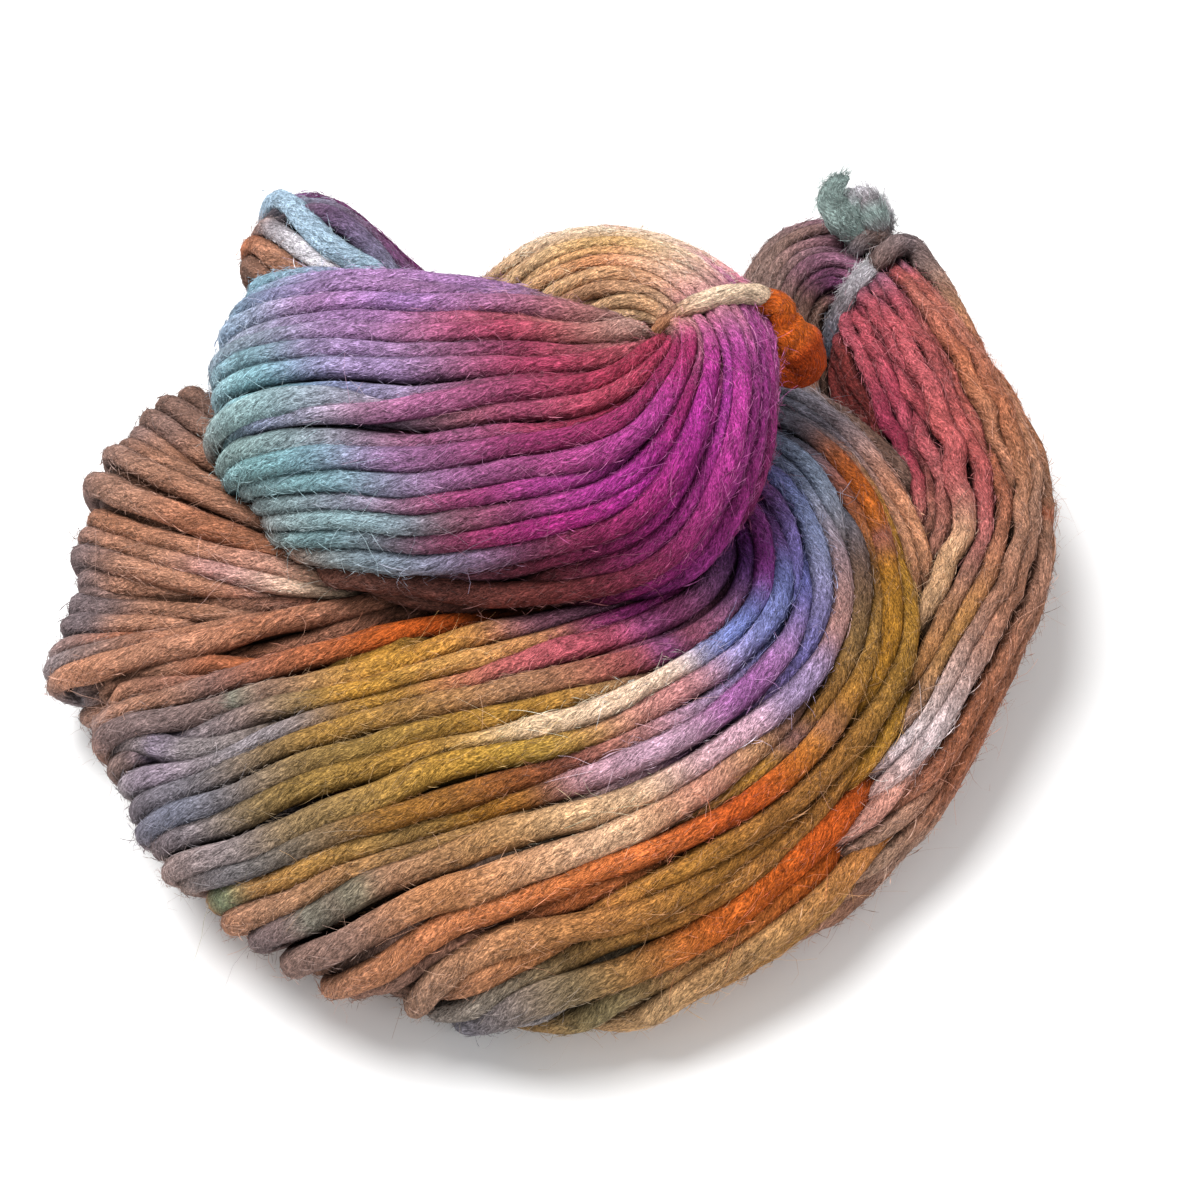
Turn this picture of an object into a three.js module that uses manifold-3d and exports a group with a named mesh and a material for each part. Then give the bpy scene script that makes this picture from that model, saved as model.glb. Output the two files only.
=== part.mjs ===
// A hank of thick single-ply roving yarn, lying in a loose curled heap, with the two short lengths of yarn that tie it.
// Millimetres, +Z up. The origin is the middle of the heap's footprint, on the surface that it lies on.
import * as THREE from 'three';
import { ConvexGeometry } from 'three/addons/geometries/ConvexGeometry.js';
import { mergeVertices } from 'three/addons/utils/BufferGeometryUtils.js';
import Module from 'manifold-3d';

const wasm = await Module();
wasm.setup();
const { Manifold, Mesh: ManifoldMesh } = wasm;

// ---- driving sizes ---------------------------------------------------------------------------------------------
const STRAND = 7.4;                 // thickness of the roving
const GAP = 0.3;                    // clearance between a tie and the hank
const SINK = 1.6;                   // how deep a tie bites into its neck
const STEP = 16;                    // longest step between two sections along the bundle
const SIDES = 17;                   // points round a section
const TIE_SIDES = 8;                // points round a tie's own section
const TIE_STEPS = 24;               // steps of a tie round its neck
const MERGE = 0.9;                  // facets smaller than this melt into their neighbours
// where the middle of the footprint lies in the frame of the tables below
const ORIGIN = new THREE.Vector3(2.32, 47.05, 4.5);

// ---- the bundle ------------------------------------------------------------------------------------------------
// One closed loop. Each section of the flattened bundle has an outer edge (ax ay az), a middle (mx my mz), an inner
// edge (bx by bz) and a half thickness.
const COLUMNS = ['place', 'ax', 'ay', 'az', 'mx', 'my', 'mz', 'bx', 'by', 'bz', 'half'];
const BUNDLE = [
  ['under crown 1', -15, 114, 52, -11, 61, 46, -5, 22, 42, 18],
  ['under crown 2', 23, 114, 52, 29, 70, 46, 33, 26, 44, 17],
  ['under crown 3', 55, 110, 48, 55, 72, 47, 48, 35, 46, 15],
  ['collar', 79, 95, 50, 73, 69, 48, 55, 42, 46, 15],
  ['front fan 1', 103, 74, 44, 82, 44, 48, 50, 30, 53, 15],
  ['front fan 2', 121, 47, 35, 82, 14, 47, 43, 18, 60, 15],
  ['front fan 3', 126, 16, 26, 70, -13, 46, 30, 10, 64, 16],
  ['front fan 4', 114, -21, 21, 50, -38, 45, 10, 3, 66, 16],
  ['front fan 5', 93, -52, 19, 26, -56, 44, -13, -2, 66, 16],
  ['front fan 6', 67, -77, 18, 2, -67, 43, -39, -5, 64, 16],
  ['front fan 7', 41, -94, 17, -25, -74, 41, -68, -8, 58, 15],
  ['front fan 8', 18, -98, 17, -53, -77, 38, -96, -9, 52, 14],
  ['front turn', -10, -92, 16, -83, -64, 29, -125, -9, 40, 13],
  ['front return 1', 2, -82, 15, -67, -54, 18, -106, -12, 26, 12],
  ['front return 2', 28, -81, 15, -14, -52, 20, -37, -9, 40, 15],
  ['front return 3', 55, -72, 16, 30, -46, 20, 14, -8, 42, 16],
  ['right lobe 0', 82, -65, 18, 69, -48, 20, 52, -13, 34, 17],
  ['right lobe 1', 106, -42, 21, 94, -26, 26, 74, 3, 32, 18],
  ['right lobe 2', 129, -7, 27, 115, 6, 31, 95, 31, 28, 19],
  ['right lobe 3', 148, 34, 32, 132, 39, 36, 106, 59, 30, 19],
  ['right lobe 4', 153, 70, 36, 134, 71, 39, 102, 86, 28, 18],
  ['right lobe 5', 145, 109, 36, 125, 106, 38, 95, 110, 28, 17],
  ['right lobe 6', 132, 147, 32, 117, 139, 34, 93, 127, 28, 15],
  ['right neck', 119, 183, 26, 111, 168, 26, 98, 148, 24, 12.5],
  ['back arcs 1', 105, 198, 25, 99, 176, 25, 94, 150, 22, 14],
  ['back arcs 2', 83, 196, 24, 84, 170, 24, 91, 141, 22, 15],
  ['back arcs 3', 64, 166, 24, 71, 142, 22, 93, 121, 20, 16],
  ['cross pass 1', 47, 132, 20, 59, 100, 21, 79, 53, 22, 17],
  ['cross pass 2', 14, 106, 19, 21, 63, 20, 31, 11, 22, 17],
  ['cross pass 3', -21, 77, 23, -15, 44, 24, -9, 6, 26, 17],
  ['left lobe 1', -43, 42, 36, -43, 25, 38, -38, 9, 31, 17],
  ['left lobe 2', -60, 54, 43, -72, 30, 47, -76, 0, 37, 17],
  ['left lobe 3', -78, 77, 46, -101, 50, 48, -111, -1, 31, 17],
  ['left turn', -97, 104, 37, -126, 78, 34, -135, 12, 22, 14],
  ['rear return 1', -88, 104, 18, -108, 64, 17, -109, 10, 14, 13],
  ['rear return 2', -72, 120, 18, -76, 86, 17, -73, 55, 15, 14],
  ['rear return 3', -40, 143, 26, -38, 108, 24, -37, 80, 19, 15],
  ['rear return 4', -14, 149, 46, -12, 123, 46, -8, 99, 36, 16],
  ['crown rise 1', 6, 141, 70, 11, 115, 76, 18, 89, 80, 16],
  ['crown rise 2', 32, 127, 84, 30, 104, 88, 29, 84, 87, 15],
  ['crown rise 3', 51, 109, 92, 43, 93, 93, 34, 81, 90, 12.5],
  ['crown neck', 65, 86, 94, 50, 76, 96, 35, 72, 94, 12],
  ['crown 1', 66, 63, 90, 50, 57, 96, 33, 69, 97, 15],
  ['crown 2', 61, 35, 80, 41, 38, 94, 28, 71, 98, 18],
  ['crown 3', 42, 11, 68, 24, 28, 92, 17, 77, 98, 20],
  ['crown 4', 7, 1, 66, -6, 32, 90, -6, 88, 98, 21],
  ['crown 5', -27, 2, 66, -37, 39, 88, -36, 95, 97, 21],
  ['crown 6', -50, 11, 66, -63, 47, 86, -62, 98, 96, 20],
  ['crown turn', -57, 33, 52, -80, 62, 67, -83, 109, 80, 17],
  ['under crown 4', -47, 41, 37, -63, 57, 46, -61, 104, 56, 16],
  ['under crown 5', -33, 24, 40, -40, 58, 45, -41, 110, 54, 18],
  ['under crown 6', -5, 22, 42, -11, 61, 46, -15, 114, 52, 18],
];

// A few strays of the same bundle stand off in a small bow behind the crown.
const BOW = [
  ['bow 0', -24, 119, 56, -31, 116, 50, -34, 109, 40, 13],
  ['bow 1', -48, 150, 60, -50, 140, 56, -51, 129, 46, 12],
  ['bow 2', -69, 173, 62, -68, 158, 60, -66, 146, 50, 11],
  ['bow 3', -87, 181, 54, -83, 163, 54, -78, 150, 44, 11],
  ['bow 4', -96, 179, 40, -89, 165, 40, -80, 153, 34, 10],
  ['bow 5', -88, 162, 28, -78, 152, 26, -65, 140, 22, 12],
  ['bow 6', -55, 146, 20, -49, 130, 20, -44, 116, 18, 12],
];

// Brown strands that cross the foot of the left lobe and fold back under it at its left end.
const CROSSING = [
  ['crossing 0', -18, 23, 48, -19, 15, 50, -20, 10, 48, 9],
  ['crossing 1', -48, 14, 50, -48, 5, 52, -48, -1, 50, 9],
  ['crossing 2', -88, 7, 48, -87, -1, 49, -87, -7, 46, 9],
  ['crossing 3', -122, 8, 42, -121, -1, 42, -121, -7, 38, 9],
  ['crossing 4', -140, 14, 30, -141, 8, 28, -139, 2, 24, 8],
  ['crossing 5', -131, 22, 15, -131, 14, 14, -130, 7, 13, 8],
  ['crossing 6', -96, 29, 14, -95, 20, 13, -94, 11, 13, 9],
];

// ---- the ties --------------------------------------------------------------------------------------------------
// Each tie is a ring of yarn on the bundle near one neck, then round lumps that run into each other: its knot and its
// free ends. The ring's rows say how far it strays from the neck, in rows of the table above, at each part of a turn.
const TIES = [
  {
    name: 'tie_centre', neck: 'crown neck', colour: '#c0925c', yarn: 4.8,
    ringColumns: ['stray', 'turn'],
    ring: [[0, 0], [0, 0.1], [0, 0.2], [0, 0.3], [0, 0.4], [0, 0.5], [0, 0.6], [0, 0.7], [0, 0.8], [0, 0.9]],
    columns: ['chain', 'x', 'y', 'z', 'r'],
    lumps: [
      ['puff', 64.9, 83.4, 99.0, 4.2],
      ['puff', 66.7, 83.4, 97.0, 4.6],
      ['knot', 66.8, 83.6, 96.0, 5],
      ['knot', 70.2, 82.1, 91.0, 7.4],
      ['knot', 74.0, 79.7, 86.0, 8.2],
      ['knot', 75.9, 77.1, 82.0, 6.2],
      ['knot', 76.8, 75.0, 80.0, 4.2],
    ],
  },
  {
    name: 'tie_right', neck: 'right neck', colour: '#8f9a97', yarn: 5.2,
    ringColumns: ['stray', 'turn'],
    ring: [
      [0, 0], [-0.08, 0.1], [-0.18, 0.2], [-0.28, 0.3], [-0.4, 0.4], [-0.5, 0.5], [-0.6, 0.6], [-0.7, 0.7],
      [-0.8, 0.8], [-0.86, 0.9], [-0.8, 0.97], [-0.55, 1], [-0.28, 1],
    ],
    columns: ['chain', 'x', 'y', 'z', 'r'],
    lumps: [
      ['knot', 112.6, 176.7, 39.0, 4.6],
      ['knot', 107.6, 177.0, 41.0, 5],
      ['left end', 107.6, 177.0, 41.0, 4.2],
      ['left end', 100.1, 180.0, 45.0, 4.8],
      ['left end', 95.9, 184.4, 50.0, 4.2],
      ['left end', 97.0, 186.8, 54.0, 3.2],
      ['left end', 99.6, 188.9, 57.0, 1.2],
      ['right end', 109.1, 178.5, 41.0, 4.6],
      ['right end', 108.2, 181.9, 46.0, 5.4],
      ['right end', 107.0, 184.4, 50.0, 4.6],
    ],
  },
];

// ---- helpers ---------------------------------------------------------------------------------------------------
const asRecord = (columns, row) => Object.fromEntries(columns.map((key, i) => [key, row[i]]));
const asSection = (row) => {
  const r = asRecord(COLUMNS, row);
  return {
    place: r.place, half: r.half,
    a: new THREE.Vector3(r.ax, r.ay, r.az).sub(ORIGIN),
    m: new THREE.Vector3(r.mx, r.my, r.mz).sub(ORIGIN),
    b: new THREE.Vector3(r.bx, r.by, r.bz).sub(ORIGIN),
  };
};

function toSolid(geometry) {
  const g = geometry.clone();
  for (const key of Object.keys(g.attributes)) if (key !== 'position') g.deleteAttribute(key);
  const merged = mergeVertices(g, 1e-4);
  return new Manifold(new ManifoldMesh({
    numProp: 3,
    vertProperties: new Float32Array(merged.attributes.position.array),
    triVerts: new Uint32Array(merged.index.array),
  }));
}

function toGeometry(solid) {
  const mesh = solid.getMesh();
  const positions = new Float32Array(mesh.numVert * 3);
  for (let i = 0; i < mesh.numVert; i++) {
    for (let k = 0; k < 3; k++) positions[3 * i + k] = mesh.vertProperties[i * mesh.numProp + k];
  }
  const g = new THREE.BufferGeometry();
  g.setAttribute('position', new THREE.BufferAttribute(positions, 3));
  g.setIndex(new THREE.BufferAttribute(new Uint32Array(mesh.triVerts), 1));
  g.computeVertexNormals();
  return g;
}

// a bowed line through edge, middle and edge, and its direction
const bow = (s, t) => new THREE.Vector3()
  .addScaledVector(s.a, (2 * t - 1) * (t - 1))
  .addScaledVector(s.m, 4 * t * (1 - t))
  .addScaledVector(s.b, t * (2 * t - 1));
const bowDirection = (s, t) => new THREE.Vector3()
  .addScaledVector(s.a, 4 * t - 3)
  .addScaledVector(s.m, 4 - 8 * t)
  .addScaledVector(s.b, 4 * t - 1);

// the bundle as smooth guides through the rows of a table
function guidesOf(rows) {
  const sections = rows.map(asSection);
  const curve = (key) => new THREE.CatmullRomCurve3(sections.map((s) => s[key]), false, 'centripetal');
  const [a, m, b] = ['a', 'm', 'b'].map(curve);
  const last = sections.length - 1;
  const at = (u) => {
    const v = THREE.MathUtils.clamp(u, 0, last);
    const i = Math.min(Math.floor(v), last - 1);
    return {
      a: a.getPoint(v / last), m: m.getPoint(v / last), b: b.getPoint(v / last),
      half: THREE.MathUtils.lerp(sections[i].half, sections[i + 1].half, v - i),
    };
  };
  return { sections, last, at };
}

// a point on the bundle's skin, at place u along the guides and a part of a turn round the section
function skinAt(guides, u, turn, grow = 0) {
  const e = 0.04;
  const s = guides.at(u), s0 = guides.at(u - e), s1 = guides.at(u + e);
  const centre = new THREE.Vector3().subVectors(s1.m, s0.m).cross(new THREE.Vector3().subVectors(s.b, s.a)).normalize();
  const phi = 2 * Math.PI * turn;
  const t = 0.5 - 0.5 * Math.cos(phi) * (1 + (2 * grow) / s.a.distanceTo(s.b));
  const along = bow(s1, t).sub(bow(s0, t));
  const normal = along.cross(bowDirection(s, t)).normalize().lerp(centre, 0.5).normalize();
  return bow(s, t).addScaledVector(normal, Math.sin(phi) * (s.half + grow));
}
const ringAt = (guides, u) => Array.from({ length: SIDES }, (_, j) => skinAt(guides, u, j / SIDES));

// the bundle's solid: the hulls of neighbouring sections, joined
function woundSolid(rows) {
  const guides = guidesOf(rows);
  const stations = [];
  for (let i = 0; i < guides.last; i++) {
    const p = guides.at(i), q = guides.at(i + 1);
    const reach = Math.max(p.a.distanceTo(q.a), p.m.distanceTo(q.m), p.b.distanceTo(q.b));
    const steps = Math.max(2, Math.ceil(reach / STEP));
    for (let k = 0; k < steps; k++) stations.push(i + k / steps);
  }
  stations.push(guides.last);
  const rings = stations.map((u) => ringAt(guides, u));
  const pieces = [];
  for (let i = 0; i + 1 < rings.length; i++) pieces.push(toSolid(new ConvexGeometry([...rings[i], ...rings[i + 1]])));
  return Manifold.union(pieces);
}

// a closed ring of yarn that lies on the bundle
function bandSolid(guides, u, tie, grow) {
  const radius = tie.yarn / 2 + grow;
  const rows = tie.ring.map((row) => asRecord(tie.ringColumns, row));
  const points = rows.map((row) => skinAt(guides, u + row.stray, row.turn, tie.yarn / 2 - SINK));
  const path = new THREE.CatmullRomCurve3(points, true, 'centripetal');
  const middle = points.reduce((sum, p) => sum.add(p), new THREE.Vector3()).divideScalar(points.length);
  const positions = [], index = [];
  for (let i = 0; i < TIE_STEPS; i++) {
    const p = path.getPointAt(i / TIE_STEPS);
    const run = path.getTangentAt(i / TIE_STEPS);
    const out = new THREE.Vector3().subVectors(p, middle);
    out.addScaledVector(run, -out.dot(run)).normalize();
    const side = new THREE.Vector3().crossVectors(out, run).normalize();
    for (let j = 0; j < TIE_SIDES; j++) {
      const w = (2 * Math.PI * j) / TIE_SIDES;
      const q = p.clone().addScaledVector(out, radius * Math.cos(w)).addScaledVector(side, radius * Math.sin(w));
      positions.push(q.x, q.y, q.z);
      const i1 = (i + 1) % TIE_STEPS, j1 = (j + 1) % TIE_SIDES;
      index.push(i * TIE_SIDES + j, i1 * TIE_SIDES + j, i1 * TIE_SIDES + j1);
      index.push(i * TIE_SIDES + j, i1 * TIE_SIDES + j1, i * TIE_SIDES + j1);
    }
  }
  const g = new THREE.BufferGeometry();
  g.setAttribute('position', new THREE.BufferAttribute(new Float32Array(positions), 3));
  g.setIndex(index);
  const solid = toSolid(g);
  if (solid.volume() > 0) return solid;
  g.setIndex(index.map((v, i) => (i % 3 === 1 ? index[i + 1] : i % 3 === 2 ? index[i - 1] : v)));
  return toSolid(g);
}

// points of a ball, for the hull of two neighbouring lumps
function ballPoints(lump, grow) {
  const g = new THREE.IcosahedronGeometry(lump.r + grow, 1);
  const p = g.attributes.position, seen = new Map();
  for (let i = 0; i < p.count; i++) {
    const v = new THREE.Vector3(p.getX(i) + lump.x, p.getY(i) + lump.y, p.getZ(i) + lump.z).sub(ORIGIN);
    seen.set(v.toArray().map((c) => c.toFixed(4)).join(), v);
  }
  return [...seen.values()];
}

function tieSolid(tie, guides, grow = 0) {
  const u = guides.sections.findIndex((s) => s.place === tie.neck);
  const lumps = tie.lumps.map((row) => asRecord(tie.columns, row));
  const pieces = [bandSolid(guides, u, tie, grow)];
  lumps.forEach((lump, i) => {
    const next = lumps[i + 1];
    const points = ballPoints(lump, grow);
    if (next && next.chain === lump.chain) points.push(...ballPoints(next, grow));
    else if (i > 0 && lumps[i - 1].chain === lump.chain) return;
    pieces.push(toSolid(new ConvexGeometry(points)));
  });
  return Manifold.union(pieces);
}

// ---- assembly --------------------------------------------------------------------------------------------------
const guides = guidesOf(BUNDLE);
const below = toSolid(new THREE.BoxGeometry(600, 600, 60).translate(0, 60, -30));
const ties = TIES.map((tie) => tieSolid(tie, guides));
const clearances = TIES.map((tie) => tieSolid(tie, guides, GAP));

let hankSolid = woundSolid(BUNDLE).add(woundSolid(BOW)).add(woundSolid(CROSSING));
hankSolid = hankSolid.simplify(MERGE).subtract(below);
for (const clearance of clearances) hankSolid = hankSolid.subtract(clearance);
// keep the one large piece: a sliver cut free by a tie is not part of the hank
hankSolid = hankSolid.decompose().sort((p, q) => q.volume() - p.volume())[0];

const yarn = (colour) => new THREE.MeshStandardMaterial({ color: colour, roughness: 0.95, metalness: 0 });
const hank = new THREE.Mesh(toGeometry(hankSolid), yarn('#9a7350'));
hank.name = 'hank';
hank.userData = { strand_mm: STRAND };

const skein = new THREE.Group();
skein.add(hank);
TIES.forEach((tie, i) => {
  const mesh = new THREE.Mesh(toGeometry(ties[i].subtract(below)), yarn(tie.colour));
  mesh.name = tie.name;
  skein.add(mesh);
});

export default skein;
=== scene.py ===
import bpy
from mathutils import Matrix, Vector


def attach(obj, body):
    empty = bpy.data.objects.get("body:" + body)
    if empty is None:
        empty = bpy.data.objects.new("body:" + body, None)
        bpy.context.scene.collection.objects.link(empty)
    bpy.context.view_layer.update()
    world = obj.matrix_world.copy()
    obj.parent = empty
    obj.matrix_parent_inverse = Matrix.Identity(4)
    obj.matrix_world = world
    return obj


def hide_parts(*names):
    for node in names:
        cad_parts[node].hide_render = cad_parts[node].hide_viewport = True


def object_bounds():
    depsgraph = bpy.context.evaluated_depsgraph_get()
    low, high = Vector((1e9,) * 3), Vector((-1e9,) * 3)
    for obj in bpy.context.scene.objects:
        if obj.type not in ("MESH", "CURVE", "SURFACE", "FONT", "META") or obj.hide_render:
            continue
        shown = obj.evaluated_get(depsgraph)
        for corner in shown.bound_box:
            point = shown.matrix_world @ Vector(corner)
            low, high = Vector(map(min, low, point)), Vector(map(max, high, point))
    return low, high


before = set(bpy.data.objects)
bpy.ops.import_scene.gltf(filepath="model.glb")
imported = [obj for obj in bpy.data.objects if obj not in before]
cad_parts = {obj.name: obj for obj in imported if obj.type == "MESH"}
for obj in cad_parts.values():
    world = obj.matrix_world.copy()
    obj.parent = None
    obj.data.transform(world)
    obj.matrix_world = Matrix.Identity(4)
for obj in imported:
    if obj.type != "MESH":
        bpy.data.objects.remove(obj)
CAD_BOX = [list(c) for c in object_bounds()]

import math
import bpy
import numpy as np
from mathutils import Vector
from mathutils.bvhtree import BVHTree

# A hank of thick single-ply roving yarn in a loose curled heap, tied twice. Tables are in millimetres.

# ---- sizes ------------------------------------------------------------------------------------------------------
STRAND = 7.0                 # thickness of the roving
FLUFF = 1.06                 # how much its loose fibres add to that
TURNS_OUT = 41               # turns of the loop that lie at the bundle's skin
TURNS_IN = 11                # turns of the loop inside it
STATIONS = 420               # cross-sections along the loop
ORIGIN = np.array([2.32, 47.05, 4.5])
SEED = 7

# the loop's sections: outer edge, middle, inner edge, half thickness and how far the strands have rolled round
BUNDLE = [
    ("under crown 1", -15, 114, 52, -11, 61, 46, -5, 22, 42, 18, 0),
    ("under crown 2", 23, 114, 52, 29, 70, 46, 33, 26, 44, 17, 0),
    ("under crown 3", 55, 110, 48, 55, 72, 47, 48, 35, 46, 15, 0),
    ("collar", 79, 95, 50, 73, 69, 48, 55, 42, 46, 15, 0),
    ("front fan 1", 103, 74, 44, 82, 44, 48, 50, 30, 53, 15, 0),
    ("front fan 2", 121, 47, 35, 82, 14, 47, 43, 18, 60, 15, 0),
    ("front fan 3", 126, 16, 26, 70, -13, 46, 30, 10, 64, 16, 0),
    ("front fan 4", 114, -21, 21, 50, -38, 45, 10, 3, 66, 16, 0),
    ("front fan 5", 93, -52, 19, 26, -56, 44, -13, -2, 66, 16, 0),
    ("front fan 6", 67, -77, 18, 2, -67, 43, -39, -5, 64, 16, 0),
    ("front fan 7", 41, -94, 17, -25, -74, 41, -68, -8, 58, 15, 0),
    ("front fan 8", 18, -98, 17, -53, -77, 38, -96, -9, 52, 14, 0),
    ("front turn", -10, -92, 16, -83, -64, 29, -125, -9, 40, 13, 0),
    ("front return 1", 2, -82, 15, -67, -54, 18, -106, -12, 26, 12, 0),
    ("front return 2", 28, -81, 15, -14, -52, 20, -37, -9, 40, 15, 0),
    ("front return 3", 55, -72, 16, 30, -46, 20, 14, -8, 42, 16, 0),
    ("right lobe 0", 82, -65, 18, 69, -48, 20, 52, -13, 34, 17, 0),
    ("right lobe 1", 106, -42, 21, 94, -26, 26, 74, 3, 32, 18, 0),
    ("right lobe 2", 129, -7, 27, 115, 6, 31, 95, 31, 28, 19, 0),
    ("right lobe 3", 148, 34, 32, 132, 39, 36, 106, 59, 30, 19, 0),
    ("right lobe 4", 153, 70, 36, 134, 71, 39, 102, 86, 28, 18, 0),
    ("right lobe 5", 145, 109, 36, 125, 106, 38, 95, 110, 28, 17, 0),
    ("right lobe 6", 132, 147, 32, 117, 139, 34, 93, 127, 28, 15, 0),
    ("right neck", 119, 183, 26, 111, 168, 26, 98, 148, 24, 12.5, 0),
    ("back arcs 1", 105, 198, 25, 99, 176, 25, 94, 150, 22, 14, 0),
    ("back arcs 2", 83, 196, 24, 84, 170, 24, 91, 141, 22, 15, 0),
    ("back arcs 3", 64, 166, 24, 71, 142, 22, 93, 121, 20, 16, 0),
    ("cross pass 1", 47, 132, 20, 59, 100, 21, 79, 53, 22, 17, 0),
    ("cross pass 2", 14, 106, 19, 21, 63, 20, 31, 11, 22, 17, 0),
    ("cross pass 3", -21, 77, 23, -15, 44, 24, -9, 6, 26, 17, 0),
    ("left lobe 1", -43, 42, 36, -43, 25, 38, -38, 9, 31, 17, 0),
    ("left lobe 2", -60, 54, 43, -72, 30, 47, -76, 0, 37, 17, 0),
    ("left lobe 3", -78, 77, 46, -101, 50, 48, -111, -1, 31, 17, 0),
    ("left turn", -97, 104, 37, -126, 78, 34, -135, 12, 22, 14, 0),
    ("rear return 1", -88, 104, 18, -108, 64, 17, -109, 10, 14, 13, 0),
    ("rear return 2", -72, 120, 18, -76, 86, 17, -73, 55, 15, 14, 0),
    ("rear return 3", -40, 143, 26, -38, 108, 24, -37, 80, 19, 15, 0),
    ("rear return 4", -14, 149, 46, -12, 123, 46, -8, 99, 36, 16, 0),
    ("crown rise 1", 6, 141, 70, 11, 115, 76, 18, 89, 80, 16, 0),
    ("crown rise 2", 32, 127, 84, 30, 104, 88, 29, 84, 87, 15, 0),
    ("crown rise 3", 51, 109, 92, 43, 93, 93, 34, 81, 90, 12.5, 0),
    ("crown neck", 65, 86, 94, 50, 76, 96, 35, 72, 94, 12, 0),
    ("crown 1", 66, 63, 90, 50, 57, 96, 33, 69, 97, 15, 0.03),
    ("crown 2", 61, 35, 80, 41, 38, 94, 28, 71, 98, 18, 0.08),
    ("crown 3", 42, 11, 68, 24, 28, 92, 17, 77, 98, 20, 0.15),
    ("crown 4", 7, 1, 66, -6, 32, 90, -6, 88, 98, 21, 0.21),
    ("crown 5", -27, 2, 66, -37, 39, 88, -36, 95, 97, 21, 0.25),
    ("crown 6", -50, 11, 66, -63, 47, 86, -62, 98, 96, 20, 0.25),
    ("crown turn", -57, 33, 52, -80, 62, 67, -83, 109, 80, 17, 0.25),
    ("under crown 4", -47, 41, 37, -63, 57, 46, -61, 104, 56, 16, 0.25),
    ("under crown 5", -33, 24, 40, -40, 58, 45, -41, 110, 54, 18, 0.25),
    ("under crown 6", -5, 22, 42, -11, 61, 46, -15, 114, 52, 18, 0.25),
]
BOW = [
    ("bow 0", -24, 119, 56, -31, 116, 50, -34, 109, 40, 13, 0),
    ("bow 1", -48, 150, 60, -50, 140, 56, -51, 129, 46, 12, 0),
    ("bow 2", -69, 173, 62, -68, 158, 60, -66, 146, 50, 11, 0),
    ("bow 3", -87, 181, 54, -83, 163, 54, -78, 150, 44, 11, 0),
    ("bow 4", -96, 179, 40, -89, 165, 40, -80, 153, 34, 10, 0),
    ("bow 5", -88, 162, 28, -78, 152, 26, -65, 140, 22, 12, 0),
    ("bow 6", -55, 146, 20, -49, 130, 20, -44, 116, 18, 12, 0),
]
CROSSING = [
    ("crossing 0", -18, 23, 48, -19, 15, 50, -20, 10, 48, 9, 0),
    ("crossing 1", -48, 14, 50, -48, 5, 52, -48, -1, 50, 9, 0),
    ("crossing 2", -88, 7, 48, -87, -1, 49, -87, -7, 46, 9, 0),
    ("crossing 3", -122, 8, 42, -121, -1, 42, -121, -7, 38, 9, 0),
    ("crossing 4", -140, 14, 30, -141, 8, 28, -139, 2, 24, 8, 0),
    ("crossing 5", -131, 22, 15, -131, 14, 14, -130, 7, 13, 8, 0),
    ("crossing 6", -96, 29, 14, -95, 20, 13, -94, 11, 13, 9, 0),
]

# how the turns lie along the way: how much closer together on one side of the section, that side's place round it, how
# far they have wound round the bundle by then (parts of the way round), and how deep the inside turns lie (strands)
LAY = [
    ("under crown 1", 0.0, 0.72, 0.0, 0.72), ("collar", 0.05, 0.72, 0.0, 0.70), ("front fan 1", 0.12, 0.73, 0.0, 0.60),
    ("front fan 3", 0.24, 0.73, 0.0, 0.50), ("front fan 5", 0.26, 0.73, 0.0, 0.42), ("front fan 7", 0.24, 0.74, 0.018, 0.36),
    ("front fan 8", 0.20, 0.74, 0.035, 0.30), ("front turn", 0.0, 0.74, 0.065, 0.30), ("front return 1", 0.0, 0.25, 0.08, 0.40),
    ("right lobe 1", 0.15, 0.25, 0.02, 0.72), ("right lobe 5", 0.15, 0.33, 0.0, 0.72), ("right neck", 0.0, 0.30, 0.0, 0.72),
    ("cross pass 2", 0.0, 0.31, 0.0, 0.72), ("left lobe 1", 0.12, 0.35, 0.0, 0.60), ("left lobe 3", 0.15, 0.33, 0.0, 0.35),
    ("left turn", 0.0, 0.33, 0.0, 0.20), ("rear return 1", 0.0, 0.50, 0.0, 0.40), ("crown neck", 0.0, 0.70, 0.0, 0.72),
    ("crown 1", 0.0, 0.66, 0.0, 0.80), ("crown 3", -0.06, 0.59, 0.0, 1.0), ("crown 6", -0.04, 0.50, 0.0, 1.0), ("under crown 4", 0.0, 0.50, 0.0, 0.72),
    ("under crown 6", 0.0, 0.50, 0.0, 0.72),
]

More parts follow.
